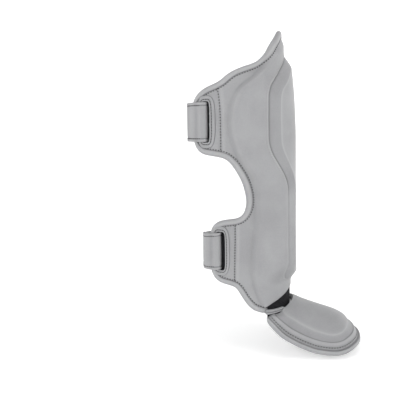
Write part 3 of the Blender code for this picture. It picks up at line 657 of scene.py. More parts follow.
def makeCover(around, height):
    points = onLeg(around, height, shellWall(around, height))
    wall = shellWall(around[0], height[0])
    under = [onLeg(around[0], height[0], wall * share) for share in shell["underEdge"]]
    points = np.concatenate([np.array(under), points])
    toEdge = (edgeAround("foamEdge", height) - np.abs(around)) * halfTurn(height)
    groove, ridge = seamShares(around, height)
    # painted shade where the foam ends, under the low edge and in the seam grooves; painted highlight on
    # the ridges
    paintedShading = shell["foamShade"] * np.exp(-((toEdge - shell["foamShadeAt"]) / shell["foamShadeRun"]) ** 2)
    paintedShading = paintedShading + wingSeams["grooveShade"] * groove - wingSeams["ridgeHighlight"] * ridge
    paintedShading = np.concatenate([np.full((len(under), paintedShading.shape[1]), shell["underShade"]), paintedShading])
    lift = wingSeams["ridgeLift"] * ridge - wingSeams["grooveDepth"] * groove
    points[len(under):] += outward(around, height) * lift[..., None]
    cover = faceOut(gridPiece("shellCover", points, paintedShading=paintedShading))
    openSlots(cover, False, slotHole["halfHeight"] + slotHole["spare"])
    giveWall(cover, shell["coverWall"], -1.0)
    finishPiece(cover, coverLeather, "leather_shell", "shin_shell")


def makeLining(around, height):
    points = onLeg(around[:, ::2], height[:, ::2], 0.0)
    lining = faceOut(gridPiece("shellLining", points))
    openSlots(lining, True, slotHole["liningHalfHeight"])
    giveWall(lining, shell["liningWall"], 1.0)
    finishPiece(lining, liningCloth, "black_webbing")


# the raised panel

panel = {
    "raise": 0.0105,
    "wall": 0.0015,
    "points": 420,
    # half width and height of the crest, from the low end's middle up to the apex
    "crest": (
        (0.0000, -0.1210), (0.0120, -0.1210), (0.0200, -0.1195), (0.0255, -0.1150), (0.0280, -0.1070),
        (0.0295, -0.0900), (0.0302, -0.0750), (0.0308, -0.0550), (0.0314, -0.0350), (0.0328, -0.0150),
        (0.0356, 0.0010), (0.0398, 0.0180), (0.0443, 0.0340), (0.0490, 0.0490), (0.0524, 0.0640),
        (0.0540, 0.0820), (0.0545, 0.1050), (0.0540, 0.1290), (0.0520, 0.1500), (0.0470, 0.1600),
        (0.0385, 0.1680), (0.0300, 0.1760), (0.0235, 0.1830), (0.0117, 0.1910), (0.0000, 0.1945),
    ),
    # height of the crest, how far outside it the panel's foot lies
    "sideRun": (
        (-0.121, 0.0150), (-0.105, 0.0110), (-0.07, 0.0100), (0.13, 0.0100), (0.165, 0.0120),
        (0.1945, 0.0180),
    ),
    # share of the way up the side, share of the raise
    "sideRise": (
        (0, 0), (0.10, 0.15), (0.30, 0.39), (0.55, 0.66), (0.80, 0.90), (0.92, 0.985), (1.0, 1.0),
    ),
    # how far outside the foot, how far above the foam: the sewn welt round the panel
    "welt": (
        (0.0030, -0.0006), (0.0026, 0.0003), (0.0019, 0.00065), (0.0012, 0.0005), (0.0006, 0.0),
        (0.0002, -0.0008),
    ),
    # the rings of points: shares of the way up the side, and of the way from the crest to the spine
    "sideRings": (0.03, 0.10, 0.20, 0.32, 0.45, 0.58, 0.70, 0.80, 0.88, 0.94, 0.98),
    "topRings": (
        0.0, 0.02, 0.05, 0.10, 0.16, 0.23, 0.30, 0.38, 0.46, 0.54, 0.62, 0.70, 0.78, 0.86, 0.93, 1.0,
    ),
    # the spine ends this far above the crest's low end, and this far below its apex
    "spineLow": 0.03,
    "spineHigh": 0.045,
    # painted shade above nought and painted highlight below, a number a ring: lines at the welt and
    # crest, then the side's painted shade
    "lineShades": (
        0.2, 0.0, -0.35, -0.35, 0.3, 0.8, 0.55, 0.1, 0.0, 0.0, 0.0, 0.0, 0.0, 0.0, 0.0, 0.0,
        -0.2, -0.5, -0.4, -0.15,
    ),
    "sideShades": (
        0.0, 0.0, 0.0, 0.0, 0.0, 0.0, 0.14, 0.14, 0.14, 0.14, 0.14, 0.14, 0.14, 0.14, 0.12, 0.08, 0.04,
    ),
    # the shades grow upwards from this height, over this run; below it the lines keep a share
    "shadesFrom": -0.005,
    "shadesRun": 0.035,
    "linesKeep": 0.06,
}


def makePanel():
    half = []
    for width, height in panel["crest"]:
        share = aroundAtWidth(width, height, float(foamWall(0.1, height)) + panel["raise"])
        half.append((share * float(halfTurn(height)), height))
    loop = half + [(-distance, height) for distance, height in half[-2:0:-1]]
    crest = curveThrough(loop, panel["points"], loop=True)
    away = rightOf(crest, loop=True)
    run = follow(panel["sideRun"], crest[:, 1])[:, None]
    low, high = panel["crest"][0][1] + panel["spineLow"], panel["crest"][-1][1] - panel["spineHigh"]
    spine = np.stack([np.zeros(len(crest)), np.clip(crest[:, 1], low, high)], 1)
    rings = [(crest + away * (run + beyond), lift) for beyond, lift in panel["welt"]]
    for share in panel["sideRings"]:
        lift = panel["raise"] * follow(panel["sideRise"], share)
        rings.append((crest + away * run * (1 - share), lift))
    rings += [(crest + (spine - crest) * share, panel["raise"]) for share in panel["topRings"]]
    rows = []
    for place, lift in rings:
        around = place[:, 0] / halfTurn(place[:, 1])
        rim = ease((topHeight(np.abs(around)) - place[:, 1]) / shell["rimRun"])
        wall = shell["rim"] + (foamWall(np.abs(around), place[:, 1]) - shell["rim"]) * rim
        rows.append(onLeg(around, place[:, 1], wall + lift))
    points = np.array(rows)
    points = np.concatenate([points, points[:, :1]], axis=1)
    # painted shade and highlight along the welt and crest, and painted shade on the side
    line, band = (np.array(panel[key])[:, None] for key in ("lineShades", "sideShades"))
    shown = ease((points[:, :, 2] - panel["shadesFrom"]) / panel["shadesRun"])
    paintedShading = np.zeros(points.shape[:2])
    paintedShading[: len(line)] = line * (panel["linesKeep"] + (1 - panel["linesKeep"]) * shown[: len(line)])
    paintedShading[: len(band)] += band * shown[: len(band)]
    piece = closeSeams(gridPiece("frontPanel", points, paintedShading=paintedShading))
    faceOut(piece)
    giveWall(piece, panel["wall"], -1.0)
    finishPiece(piece, panelLeather, "leather_shell", "shin_shell")


# the strip folded over the shell's rim

rimStrip = {
    # how far each end runs on past the shell's corner, round and up, and the points added there
    "beyondCorner": (0.0080, -0.0012),
    "endPoints": 4,
    "reach": 0.0070,
    "lift": 0.0013,
    "stitchesInside": 0.0029,
    "roundness": 2.4,
    # how far outside the rim, share of the lift: the side that lies on the shell
    "onShell": ((-0.0018, 0.05), (-0.00175, 0.5), (-0.0014, 0.82), (-0.0006, 0.97), (0.0003, 1.0)),
    "roll": (0.0014, 0.0026, 0.0037, 0.0047, 0.0056, 0.0063, 0.00675),
    # painted shade above nought and painted highlight below: on the shell, over the roll, at its
    # outermost, under it
    "shellShades": (1.0, 1.0, 0.5, 0.0, -0.3),
    "rollShades": (-0.45, -0.5, -0.3, -0.1, 0.0, 0.0, 0.0),
    "outermostShade": 0.1,
    "underRollShades": (0.0, 0.0, 0.0, 0.0, 0.0, 0.0, 0.0),
}


def makeRimStrip(rim):
    added = rimStrip["endPoints"]
    first = rim[0] + rimStrip["beyondCorner"]
    last = rim[-1] + np.array(rimStrip["beyondCorner"]) * (-1, 1)
    core = rim
    rim = np.concatenate([
        np.linspace(first, rim[0], added + 1)[:-1], rim, np.linspace(rim[-1], last, added + 1)[1:],
    ])
    away = -rightOf(rim)
    known = np.clip(np.arange(len(rim)) - added, 0, len(core) - 1)

    # the wall inside the strip; past the corners it is the corner's own
    def wallAt(beyond):
        at = core + away[added:-added] * beyond
        return shellWall(at[:, 0] / halfTurn(at[:, 1]), at[:, 1])[known]

    wallHere = wallAt(0.0)

    def place(beyond, out):
        at = rim + away * beyond
        return onLeg(at[:, 0] / halfTurn(at[:, 1]), at[:, 1], out)

    outer, inner = [], []
    for beyond, share in rimStrip["onShell"]:
        wall = wallAt(beyond) if beyond < 0 else wallHere
        outer.append(place(beyond, wall + rimStrip["lift"] * share))
        inner.append(place(beyond, -rimStrip["lift"] * share))
    for beyond in rimStrip["roll"]:
        part = 1 - (beyond / rimStrip["reach"]) ** rimStrip["roundness"]
        half = (wallHere / 2 + rimStrip["lift"]) * part ** (1 / rimStrip["roundness"])
        outer.append(place(beyond, wallHere / 2 + half))
        inner.append(place(beyond, wallHere / 2 - half))
    outer.append(place(rimStrip["reach"], wallHere / 2))
    sections = np.array(outer + inner[::-1]).transpose(1, 0, 2)
    # painted shade where the strip meets the shell and painted highlight over the roll
    shades = rimStrip["shellShades"]
    paintedShading = np.r_[shades, rimStrip["rollShades"], rimStrip["outermostShade"]]
    paintedShading = np.r_[paintedShading, rimStrip["underRollShades"], shades[::-1]]
    strip = sweepPiece("rimStrip", sections, paintedShading)
    finishPiece(strip, stripLeather, "leather_binding", "edge_binding")


# stitches: one is modelled, and each line of them is made of its copies

stitch = {"length": 0.0023, "radius": 0.0009, "flatness": 0.8, "pitch": 0.0041, "lift": 0.0001}
stitchRuns = []


def oneStitch():
    bpy.ops.object.select_all(action="DESELECT")
    bpy.ops.mesh.primitive_uv_sphere_add(segments=6, ring_count=5, radius=1)
    bpy.ops.object.mode_set(mode="EDIT")
    size = (stitch["radius"], stitch["radius"] * stitch["flatness"], stitch["length"] / 2)
    bpy.ops.transform.resize(value=size)
    bpy.ops.object.mode_set(mode="OBJECT")
    made = bpy.context.object
    points = np.array([vertex.co[:] for vertex in made.data.vertices])
    faces = [tuple(face.vertices) for face in made.data.polygons]
    bpy.data.objects.remove(made, do_unlink=True)
    return points, faces


# a line of places and the direction away from the leather at each
def sewAlong(line, away):
    steps = np.linalg.norm(np.diff(line, axis=0), axis=1)
    length = np.r_[0, np.cumsum(steps)]
    count = max(int(length[-1] / stitch["pitch"]), 2)
    at = (np.arange(count) + 0.5) * length[-1] / count
    middle = np.stack([np.interp(at, length, line[:, k]) for k in range(3)], 1)
    up = np.stack([np.interp(at, length, away[:, k]) for k in range(3)], 1)
    ahead = alongLine(middle)
    up = up - ahead * (up * ahead).sum(1)[:, None]
    up = up / np.linalg.norm(up, axis=1)[:, None]
    stitchRuns.append((middle, ahead, up))


def makeStitches(name, material, slot):
    points, faces = oneStitch()
    places, allFaces = [], []
    for middle, ahead, up in stitchRuns:
        side = np.cross(up, ahead)
        for k in range(len(middle)):
            turned = points[:, :1] * side[k] + points[:, 1:2] * up[k] + points[:, 2:] * ahead[k]
            base = len(places) * len(points)
            places.append(turned + middle[k])
            allFaces.extend(tuple(base + index for index in face) for face in faces)
    mesh = bpy.data.meshes.new(name)
    mesh.from_pydata(np.concatenate(places).tolist(), [], allFaces)
    piece = bpy.data.objects.new(name, mesh)
    bpy.context.collection.objects.link(piece)
    closeSeams(piece)
    bpy.ops.object.shade_smooth()
    finishPiece(piece, material, slot)
    stitchRuns.clear()


def sewOnShell(around, height):
    wall = shellWall(around, height)
    sewAlong(onLeg(around, height, wall + stitch["lift"]), outward(around, height))


def sewShell(rim):
    line = rim + rightOf(rim) * rimStrip["stitchesInside"]
    sewOnShell(line[:, 0] / halfTurn(line[:, 1]), line[:, 1])
    for name in ("upper", "lower"):
        seam = seamLine(name)
        for side in (-1, 1):
            line = seam[seam[:, 1] < wingSeams["farTop"]] if side == 1 and name == "lower" else seam
            sewOnShell(side * line[:, 0], line[:, 1])


# rings round the slots

slotRing = {
    "halfWidth": 0.0142,
    "hemSide": 0.0012,
    "hemEnd": 0.0010,
    "margin": 0.0098,
    "innerPower": 0.36,
    "outerPower": 0.62,
    "points": 168,
    # share of the way from the slot to the outside, height over the wing
    "top": (
        (0.00, 0.0002), (0.015, 0.0012), (0.06, 0.0019), (0.15, 0.0022), (0.25, 0.0019), (0.31, 0.0011),
        (0.35, 0.0010), (0.39, 0.0011), (0.46, 0.0017), (0.58, 0.0019), (0.76, 0.0018), (0.90, 0.0014),
        (0.97, 0.0008), (1.00, 0.0001),
    ),
    "underside": (0.97, 0.5, 0.03),
    "sunk": 0.0004,
    # how dark the painted shade on the ring is at these shares of the way
    "shades": {0.0: 0.9, 0.015: 0.5, 0.31: 0.7, 0.35: 1.0, 0.39: 0.7, 0.97: 0.6, 1.0: 1.0},
    "stitchesAt": (0.35, 0.0011),
}


def ringLoop(slot, share):
    inner = (slot["halfWidth"] + slotRing["hemSide"], slotHole["halfHeight"] + slotRing["hemEnd"])
    outer = (slotRing["halfWidth"], slotHole["halfHeight"] + slotRing["margin"])
    power = slotRing["innerPower"] + (slotRing["outerPower"] - slotRing["innerPower"]) * share
    half, tall = (inner[k] + (outer[k] - inner[k]) * share for k in (0, 1))
    angle = np.linspace(0, 2 * math.pi, slotRing["points"], endpoint=False)
    across, up = half * signedPower(np.cos(angle), power), tall * signedPower(np.sin(angle), power)
    loop = np.stack([across, up], 1)
    loop = evenly(np.concatenate([loop, loop[:1]]), slotRing["points"], loop=True)
    around = -(slot["around"] + loop[:, 0] / halfTurn(slot["height"]))
    return around, slot["height"] + loop[:, 1]


def makeSlotRing(name, slot, node):
    rows = [onLeg(*ringLoop(slot, share), shell["wing"] + lift) for share, lift in slotRing["top"]]
    for share in slotRing["underside"]:
        rows.append(onLeg(*ringLoop(slot, share), shell["wing"] - slotRing["sunk"]))
    sections = np.array(rows).transpose(1, 0, 2)
    # painted shade in the ring's groove and along its edges
    paintedShading = [slotRing["shades"].get(share, 0.0) for share, lift in slotRing["top"]]
    paintedShading = np.array(paintedShading + [1.0] * len(slotRing["underside"]))
    ring = sweepPiece(name, sections, paintedShading, loop=True)
    finishPiece(ring, stripLeather, "leather_shell", node)
    share, lift = slotRing["stitchesAt"]
    around, height = (np.r_[values, values[:1]] for values in ringLoop(slot, share))
    sewAlong(onLeg(around, height, shell["wing"] + lift), outward(around, height))


# the straps

strap = {
    "width": 0.058,
    "thickness": 0.0026,
    "start": 0.60,
    "end": 0.93,
    "gap": 0.0006,
    # room over the rim strip, and over the slot ring
    "overRim": 0.0032,
    "overRing": 0.0014,
    "insideFrom": 1.29,  # past this place the strap lies inside the wing
    # where the folded end parts from the strap under it
    "partsFrom": 1.06,
    "partsRun": 0.16,
    "points": 150,
    "bendPoints": 17,
    "foldPoints": 110,
    # place round the back, share of the room over the rim strip
    "route": (
        (0.60, 1.00), (0.80, 1.00), (0.90, 0.52), (1.00, 0.08), (1.10, -0.24), (1.19, -0.46),
        (1.27, -0.46), (1.32, -0.32), (1.40, -0.32),
    ),
    # share of the width, how far each face stands out from the strap's plain face
    "face": (
        (0.000, -0.0011), (0.006, -0.0003), (0.018, 0.0002), (0.040, 0.00045), (0.062, 0.0002),
        (0.074, -0.0003), (0.082, -0.0004), (0.090, -0.0003), (0.105, 0.0000), (0.160, 0.0002),
        (0.330, 0.0003), (0.500, 0.0003), (0.670, 0.0003), (0.840, 0.0002), (0.895, 0.0000),
        (0.910, -0.0003), (0.918, -0.0004), (0.926, -0.0003), (0.938, 0.0002), (0.960, 0.00045),
        (0.982, 0.0002), (0.994, -0.0003), (1.000, -0.0011),
    ),
    # how dark the painted shade on the strap is at these shares of its width, by the stitches and at the
    # edges
    "shades": {0.074: 0.6, 0.082: 0.9, 0.09: 0.6, 0.91: 0.6, 0.918: 0.9, 0.926: 0.6, 0.0: 0.5, 1.0: 0.5},
    # soft upright folds near the slot: distance from the slot, width, height
    "folds": (
        (0.0065, 0.0022, 0.0007), (0.0125, 0.0026, -0.0007), (0.0205, 0.0034, 0.0009),
        (0.0300, 0.0036, -0.0006),
    ),
    # painted shading for each metre of a fold's height, a highlight on a raised fold and shade in a sunk
    # one, and the height at which it stops growing
    "foldShading": 240,
    "foldShadingMost": 0.0006,
    # share of the width of each row of stitches, and how deep they are sunk
    "stitchesAt": (0.082, 0.918),
    "stitchesSunk": 0.0003,
    # on the back, the stitches run from here to this far past the strap's end
    "sewnFrom": 0.62,
    "sewnPast": 0.42,
    # at the far end: how much lower each strap lies, and how much narrower it is
    "drop": {"upper": 0.0, "lower": 0.014},
    "taper": {"upper": 0.0, "lower": 0.008},
}


# the strap's middle line from above: round the back, out through the slot and back over itself
def strapLine(slot):
    turn = float(halfTurn(slot["height"]))
    overStrip = shell["wing"] / 2 + strap["overRim"] + strap["gap"] + strap["thickness"] / 2
    outer = shell["wing"] + strap["overRing"] + 2 * strap["gap"] + strap["thickness"] / 2
    inner = -(2 * strap["gap"] + strap["thickness"] / 2)
    bend = (outer - inner) / 2
    bendAt = 2 - (slot["around"] + slot["halfWidth"] / turn) - strap["gap"] / turn
    first = np.linspace(strap["start"], bendAt, strap["points"])
    firstOut = overStrip * follow(strap["route"], first)
    firstOut = np.where(first > strap["insideFrom"], np.minimum(firstOut, inner), firstOut)
    angle = math.pi * np.arange(1, strap["bendPoints"] + 1) / (strap["bendPoints"] + 1)
    back = np.linspace(bendAt, strap["end"], strap["foldPoints"])
    backFirst = overStrip * follow(strap["route"], back)
    apart = ease((back - strap["partsFrom"]) / strap["partsRun"])
    backOut = (backFirst + strap["thickness"] + strap["gap"]) * (1 - apart) + outer * apart
    around = np.concatenate([first, bendAt + bend * np.sin(angle) / turn, back])
    out = np.concatenate([firstOut, inner + bend * (1 - np.cos(angle)), backOut])
    return around, onLeg(around, slot["height"], out)[:, :2]


def makeStrap(name, key, node):
    slot = slots[key]
    around, line = strapLine(slot)
    aside = rightOf(line)
    slotAt = 2 - slot["around"]
    far = np.clip((slotAt - around) / (slotAt - strap["start"]), 0, None)
    low = slot["height"] - strap["width"] / 2 - strap["drop"][key] * far
    high = slot["height"] + strap["width"] / 2 - (strap["drop"][key] + strap["taper"][key]) * far

    def at(share, out):
        plan = line + aside * out
        return np.concatenate([plan, (low + (high - low) * share)[:, None]], axis=1)

    face = strap["face"]
    half = strap["thickness"] / 2
    order = np.arange(len(around))
    folded = order > strap["points"] + strap["bendPoints"]
    fromSlot = (slotAt - around) * float(halfTurn(slot["height"]))
    fromSlot = np.where(folded, fromSlot, 1.0)  # a metre away, so the strap under it has no folds
    wave = np.zeros(len(around))
    for middle, wide, tall in strap["folds"]:
        wave += tall * np.exp(-(((fromSlot - middle) / wide) ** 2))
    wave = wave[:, None]
    columns = [at(share, half + out) for share, out in face]
    columns += [at(share, -half - out - wave * min(share, 1 - share) * 2) for share, out in face[::-1]]
    sections = np.array(columns).transpose(1, 0, 2)
    # painted shade by the stitches and edges, and painted highlight and shade on the folds
    paintedShading = np.array([strap["shades"].get(share, 0.0) for share, out in face])
    most = strap["foldShadingMost"]
    paintedShading = np.r_[paintedShading, paintedShading[::-1]] - strap["foldShading"] * np.clip(wave, -most, most)
    piece = sweepPiece(name, sections, paintedShading)
    finishPiece(piece, strapLeather, "strap_leather", node)
    onBack = (around < strap["end"] + strap["sewnPast"]) & (around > strap["sewnFrom"])
    onBack = onBack & (order < strap["points"])
    up = np.concatenate([aside, np.zeros((len(aside), 1))], axis=1)
    out = half - strap["stitchesSunk"]
    for share in strap["stitchesAt"]:
        for part, sign in ((folded, -1), (onBack, 1), (onBack, -1)):
            sewAlong(at(share, sign * out)[part], sign * up[part])


# the webbing at the ankle and the two bound tabs

webbing = {
    "thickness": 0.0020,
    "wall": 0.0014,
    "reach": 0.272,
    "depth": 0.0365,
    "sideDrop": 0.006,
    "underShell": 0.0015,
    "foamShare": 0.03,
    "inside": 0.0006,
    "rows": 26,
    "columns": 150,
    "rib": 0.0004,
    "ribPitch": 0.0024,
}
tab = {
    "from": 0.120,
    "to": 0.290,
    "width": 0.0095,
    "slimming": 0.3,
    "gap": 0.0008,
    # shares of the length over which the ends are cut, and how much they take off
    "frontCut": 0.22,
    "rearCut": 0.06,
    "topCut": 0.36,
    "lowCut": 0.28,
    "lift": 0.0002,
    "thickness": 0.0012,
    "bulge": 0.0014,
    "bulgeCut": 0.6,
    "bulgePower": 0.7,
    "edgePower": 6,
    "backShares": (0.8, 0.5, 0.2),
    "backSunk": 0.0003,
    # the painted shade line along the middle, between the two rolls, and its width as a share
    "lineShade": 0.8,
    "lineWidth": 0.08,
    "points": 40,
    "facePoints": 19,
}


def webbingOut(around):
    share = np.abs(around)
    height = shell["frontEdgeHeight"] + 2 * shell["lowEdgeRound"]
    foamEnd = shell["foamEdge"][0][1] + webbing["foamShare"]
    foam = ease((foamEnd - share) * float(halfTurn(height)) / (2 * shell["foamEdgeRun"]))
    full = foamWall(share, height)
    return shell["wing"] + (full - shell["wing"]) * foam - webbing["thickness"] / 2 - webbing["inside"]


def makeWebbing():
    around = np.linspace(-webbing["reach"], webbing["reach"], webbing["columns"])[None, :]
    share = np.linspace(0, 1, webbing["rows"])[:, None]
    top = lowHeight(np.abs(around)) + webbing["underShell"]
    drop = webbing["sideDrop"] * ease(np.abs(around) / webbing["reach"])
    bottom = shell["frontEdgeHeight"] - webbing["depth"] - drop
    height = bottom + (top - bottom) * share
    rib = webbing["rib"] * np.abs(np.sin(math.pi * around * halfTurn(height) / webbing["ribPitch"]))
    points = onLeg(around, height, webbingOut(around) + rib - webbing["rib"])
    cloth = faceOut(gridPiece("ankleCloth", points))
    giveWall(cloth, webbing["wall"], -1.0)
    finishPiece(cloth, ribbedCloth, "black_webbing", "ankle_webbing")


def makeTab(name, side, node):
    along = np.linspace(0, 1, tab["points"])
    around = tab["from"] + (tab["to"] - tab["from"]) * along
    blunt = ease(1 - along / tab["frontCut"]) + ease(1 - (1 - along) / tab["rearCut"])
    width = tab["width"] * (1 - tab["slimming"] * (1 - along))
    top = shell["cornerHeight"] - tab["gap"] - tab["width"] * tab["topCut"] * blunt
    bottom = shell["cornerHeight"] - width + tab["width"] * tab["lowCut"] * blunt
    base = webbingOut(around) + webbing["thickness"] / 2 + tab["lift"]

    def at(share, out):
        return onLeg(side * around, bottom + (top - bottom) * share, out)

    shares = np.linspace(0, 1, tab["facePoints"])
    rows = []
    for share in shares:
        rolls = tab["bulge"] * (1 - blunt * tab["bulgeCut"])
        rolls = rolls * abs(math.sin(2 * math.pi * share)) ** tab["bulgePower"]
        edge = (1 - abs(2 * share - 1) ** tab["edgePower"]) ** 0.5
        rows.append(at(share, base + (tab["thickness"] + rolls) * edge))
    rows += [at(share, base - tab["backSunk"]) for share in tab["backShares"]]
    # painted shade along the middle and on the back
    paintedShading = tab["lineShade"] * np.exp(-((shares - 0.5) / tab["lineWidth"]) ** 2)
    paintedShading = np.r_[paintedShading, [1.0] * len(tab["backShares"])]
    piece = sweepPiece(name, np.array(rows).transpose(1, 0, 2), paintedShading)
    finishPiece(piece, stripLeather, "leather_binding", node)


# the foot pad

foot = {
    "halfWidth": 0.0565,
    "rear": -0.058,
    "toe": -0.199,
    "top": -0.167,
    "fall": 0.0675,
    "crestShare": 0.87,
    "raise": 0.012,
    "padding": 0.016,
    "flange": 0.005,
    "flangeDrop": 0.001,
    "grooveShare": 0.55,
    "grooveDepth": 0.0007,
    "points": 260,
    # half outline in plan, toe to rear corner: share of the half width, share of the length
    "edge": (
        (0.000, 1.000), (0.280, 0.992), (0.520, 0.962), (0.765, 0.890), (0.920, 0.800), (0.990, 0.680),
        (1.000, 0.530), (1.010, 0.360), (1.010, 0.180), (0.990, 0.000),
    ),
    "crest": (
        (0.000, 0.876), (0.310, 0.866), (0.600, 0.835), (0.780, 0.785), (0.860, 0.710), (0.880, 0.540),
        (0.870, 0.390), (0.850, 0.262), (0.815, 0.190),
    ),
    # how far round the ankle each outline follows the webbing
    "edgeRear": (0.27, 0.23, 0.19, 0.15, 0.10, 0.05, 0.0),
    "crestRear": (0.17, 0.14, 0.10, 0.05, 0.0),
    # share of the length, share of the fall: the top's middle, its sides, and the edge
    "ridge": (
        (0.00, 0.00), (0.08, 0.00), (0.17, 0.00), (0.26, 0.02), (0.36, 0.10), (0.54, 0.22), (0.72, 0.34),
        (0.81, 0.44), (0.88, 0.55), (1.00, 0.62),
    ),
    "side": (
        (0.00, 0.25), (0.08, 0.26), (0.17, 0.27), (0.26, 0.33), (0.36, 0.43), (0.54, 0.58), (0.72, 0.66),
        (0.81, 0.67), (0.88, 0.70), (1.00, 0.72),
    ),
    "edgeFall": (
        (0.00, 0.27), (0.08, 0.46), (0.17, 0.64), (0.26, 0.75), (0.36, 0.85), (0.54, 0.97), (0.72, 1.00),
        (0.81, 0.98), (0.88, 0.94), (1.00, 0.87),
    ),
    # share of the way from crest to groove, share of the drop
    "sideDrop": (
        (0.05, 0.06), (0.12, 0.16), (0.25, 0.33), (0.40, 0.51), (0.56, 0.68), (0.72, 0.83),
        (0.86, 0.94), (0.95, 0.99),
    ),
    # up to this share of the length the edge's middle is joined to the top, and its sides fall away
    "joinedTo": 0.45,
    "joinedDrop": 0.7,
    "sideFrom": 0.60,
    "sideRun": 0.22,
    # how far outside the webbing the two outlines pass at the ankle
    "edgeOutside": 0.0012,
    "crestOutside": 0.0041,
    "middleShare": 0.55,
    # the rings of points: middle to crest, groove to edge, and back to the middle underneath
    "topRings": (0.0, 0.06, 0.13, 0.21, 0.30, 0.40, 0.50, 0.60, 0.69, 0.77, 0.84, 0.90, 0.95, 0.985, 1.0),
    "flangeRings": (0.04, 0.10, 0.2, 0.35, 0.5, 0.65, 0.8, 0.92, 1.0),
    "underRings": (0.75, 0.5, 0.25, 0.0),
    # the flange swells between the groove and the edge, and lies flat past swellTo
    "flangeSwell": 0.0011,
    "swellPace": 1.1,
    "swellPower": 0.7,
    "swellTo": 0.9,
    # painted shade above nought and painted highlight below: the last rings of the top, the side, the
    # groove, the flange
    "crestShades": (-0.1, -0.3, -0.5),
    "sideShades": (-0.3, 0.05, 0.14, 0.18, 0.20, 0.22, 0.25, 0.45),
    "grooveShade": 0.9,
    "flangeShades": (0.6, 0.1, -0.2, -0.2, 0.0, 0.5, 0.1, 0.5, 1.0),
    # the row of stitches: share of the way from groove to edge, height over the flange
    "stitchesAt": (0.66, 0.0004),
}


def footAlong(y):
    return (y - foot["rear"]) / (foot["toe"] - foot["rear"])


def footHeight(key, y):
    return foot["top"] - foot["fall"] * follow(foot[key], footAlong(y))


def footTop(x, y):
    ridge, side = footHeight("ridge", y), footHeight("side", y)
    return ridge - (ridge - side) * (np.abs(x) / (foot["halfWidth"] * foot["crestShare"])) ** 2


# the outer edge, which rises to the top where the webbing joins it
def footEdgeHeight(x, y):
    side = ease((np.abs(x) / foot["halfWidth"] - foot["sideFrom"]) / foot["sideRun"])
    side = np.where(footAlong(y) < foot["joinedTo"], side, 1.0)
    joined = footTop(x, y) - foot["raise"] * foot["joinedDrop"]
    return joined + (footHeight("edgeFall", y) - joined) * side


def footOutline(key):
    length = foot["toe"] - foot["rear"]
    half = [(across * foot["halfWidth"], foot["rear"] + along * length) for across, along in foot[key]]
    rear = np.array(foot[key + "Rear"])
    out = webbingOut(rear) + webbing["thickness"] / 2 + foot[key + "Outside"]
    back = [(x, y) for x, y, z in onLeg(rear, shell["cornerHeight"], out)]
    half = half + back[:-1]
    whole = half + [(0.0, back[-1][1])] + [(-x, y) for x, y in half[:0:-1]]
    return curveThrough(whole, foot["points"], loop=True)


def makeFoot():
    outer, raised = footOutline("edge"), footOutline("crest")
    middle = np.array([0.0, foot["rear"] + foot["middleShare"] * (foot["toe"] - foot["rear"])])
    crestHeight = footTop(*raised.T)
    edgeHeight = footEdgeHeight(*outer.T)
    groove = raised + (outer - raised) * foot["grooveShare"]
    grooveHeight = edgeHeight + (crestHeight - edgeHeight) * foot["grooveShare"]
    grooveHeight = np.maximum(crestHeight - foot["raise"], grooveHeight)
    inward = outer + (middle - outer) * foot["flange"] / foot["halfWidth"]
    hollow = np.maximum(crestHeight - foot["padding"], edgeHeight - foot["flangeDrop"])

    def ring(plan, height):
        return np.concatenate([plan, np.broadcast_to(height, (len(plan),))[:, None]], axis=1)

    rings = []
    for share in foot["topRings"]:
        plan = middle + (raised - middle) * share
        rings.append(ring(plan, footTop(*plan.T)))
    for share, drop in foot["sideDrop"]:
        height = crestHeight - (crestHeight - grooveHeight) * drop
        rings.append(ring(raised + (groove - raised) * share, height))
    rings.append(ring(groove, grooveHeight - foot["grooveDepth"]))
    for share in foot["flangeRings"]:
        swell = 0
        if share < foot["swellTo"]:
            rise = math.sin(math.pi * min(1, share * foot["swellPace"]))
            swell = foot["flangeSwell"] * rise ** foot["swellPower"]
        plan = groove + (outer - groove) * share
        rings.append(ring(plan, grooveHeight + (edgeHeight - grooveHeight) * share + swell))
    rings.append(ring(inward, edgeHeight))
    rings.append(ring(groove + (inward - outer), np.minimum(grooveHeight, hollow) - foot["flangeDrop"]))
    for share in foot["underRings"]:
        plan = middle + (raised - middle) * share
        rings.append(ring(plan, footTop(*plan.T) - foot["padding"]))
    points = np.array(rings)
    points = np.concatenate([points, points[:, :1]], axis=1)
    # painted highlight on the crest, painted shade on the side and in the groove
    shades = np.r_[foot["crestShades"], foot["sideShades"], foot["grooveShade"], foot["flangeShades"]]
    first = len(foot["topRings"]) - len(foot["crestShades"])
    paintedShading = np.zeros(points.shape[:2])
    paintedShading[first : first + len(shades)] = shades[:, None]
    cover = closeSeams(gridPiece("footCover", points, paintedShading=paintedShading))
    finishPiece(cover, footLeather, "leather_shell", "foot_pad")

    edge = ring(outer, edgeHeight)
    corner = [i for i in range(len(edge) // 2) if edge[i][0] > foot["halfWidth"] * 0.9][-1]
    order = list(range(-corner, corner + 1))
    makeFootStrip(edge[order])
    start = ring(groove, grooveHeight)[order]
    slope = edge[order] - start
    share, lift = foot["stitchesAt"]
    line = start + slope * share + np.array([0, 0, lift])
    away = np.cross(slope, alongLine(line))
    away = away * np.sign((away * (slope * (1, 1, 0))).sum(1))[:, None]
    sewAlong(line, away / np.linalg.norm(away, axis=1)[:, None])


footStrip = {
    "sink": 0.0024,
    "tall": 0.0041,
    "wide": 0.0032,
    "power": 0.8,
    "points": 18,
    # the ends grow from this share of the size, over this many places
    "endShare": 0.6,
    "endPlaces": 6,
    # -1 is the section's top and 1 its bottom: painted shade above darkTo, painted highlight on both
    # sides of paleAt
    "darkTo": -0.8,
    "darkShade": 0.6,
    "paleAt": -0.35,
    "paleRun": 0.25,
    "paleShade": 0.45,
}


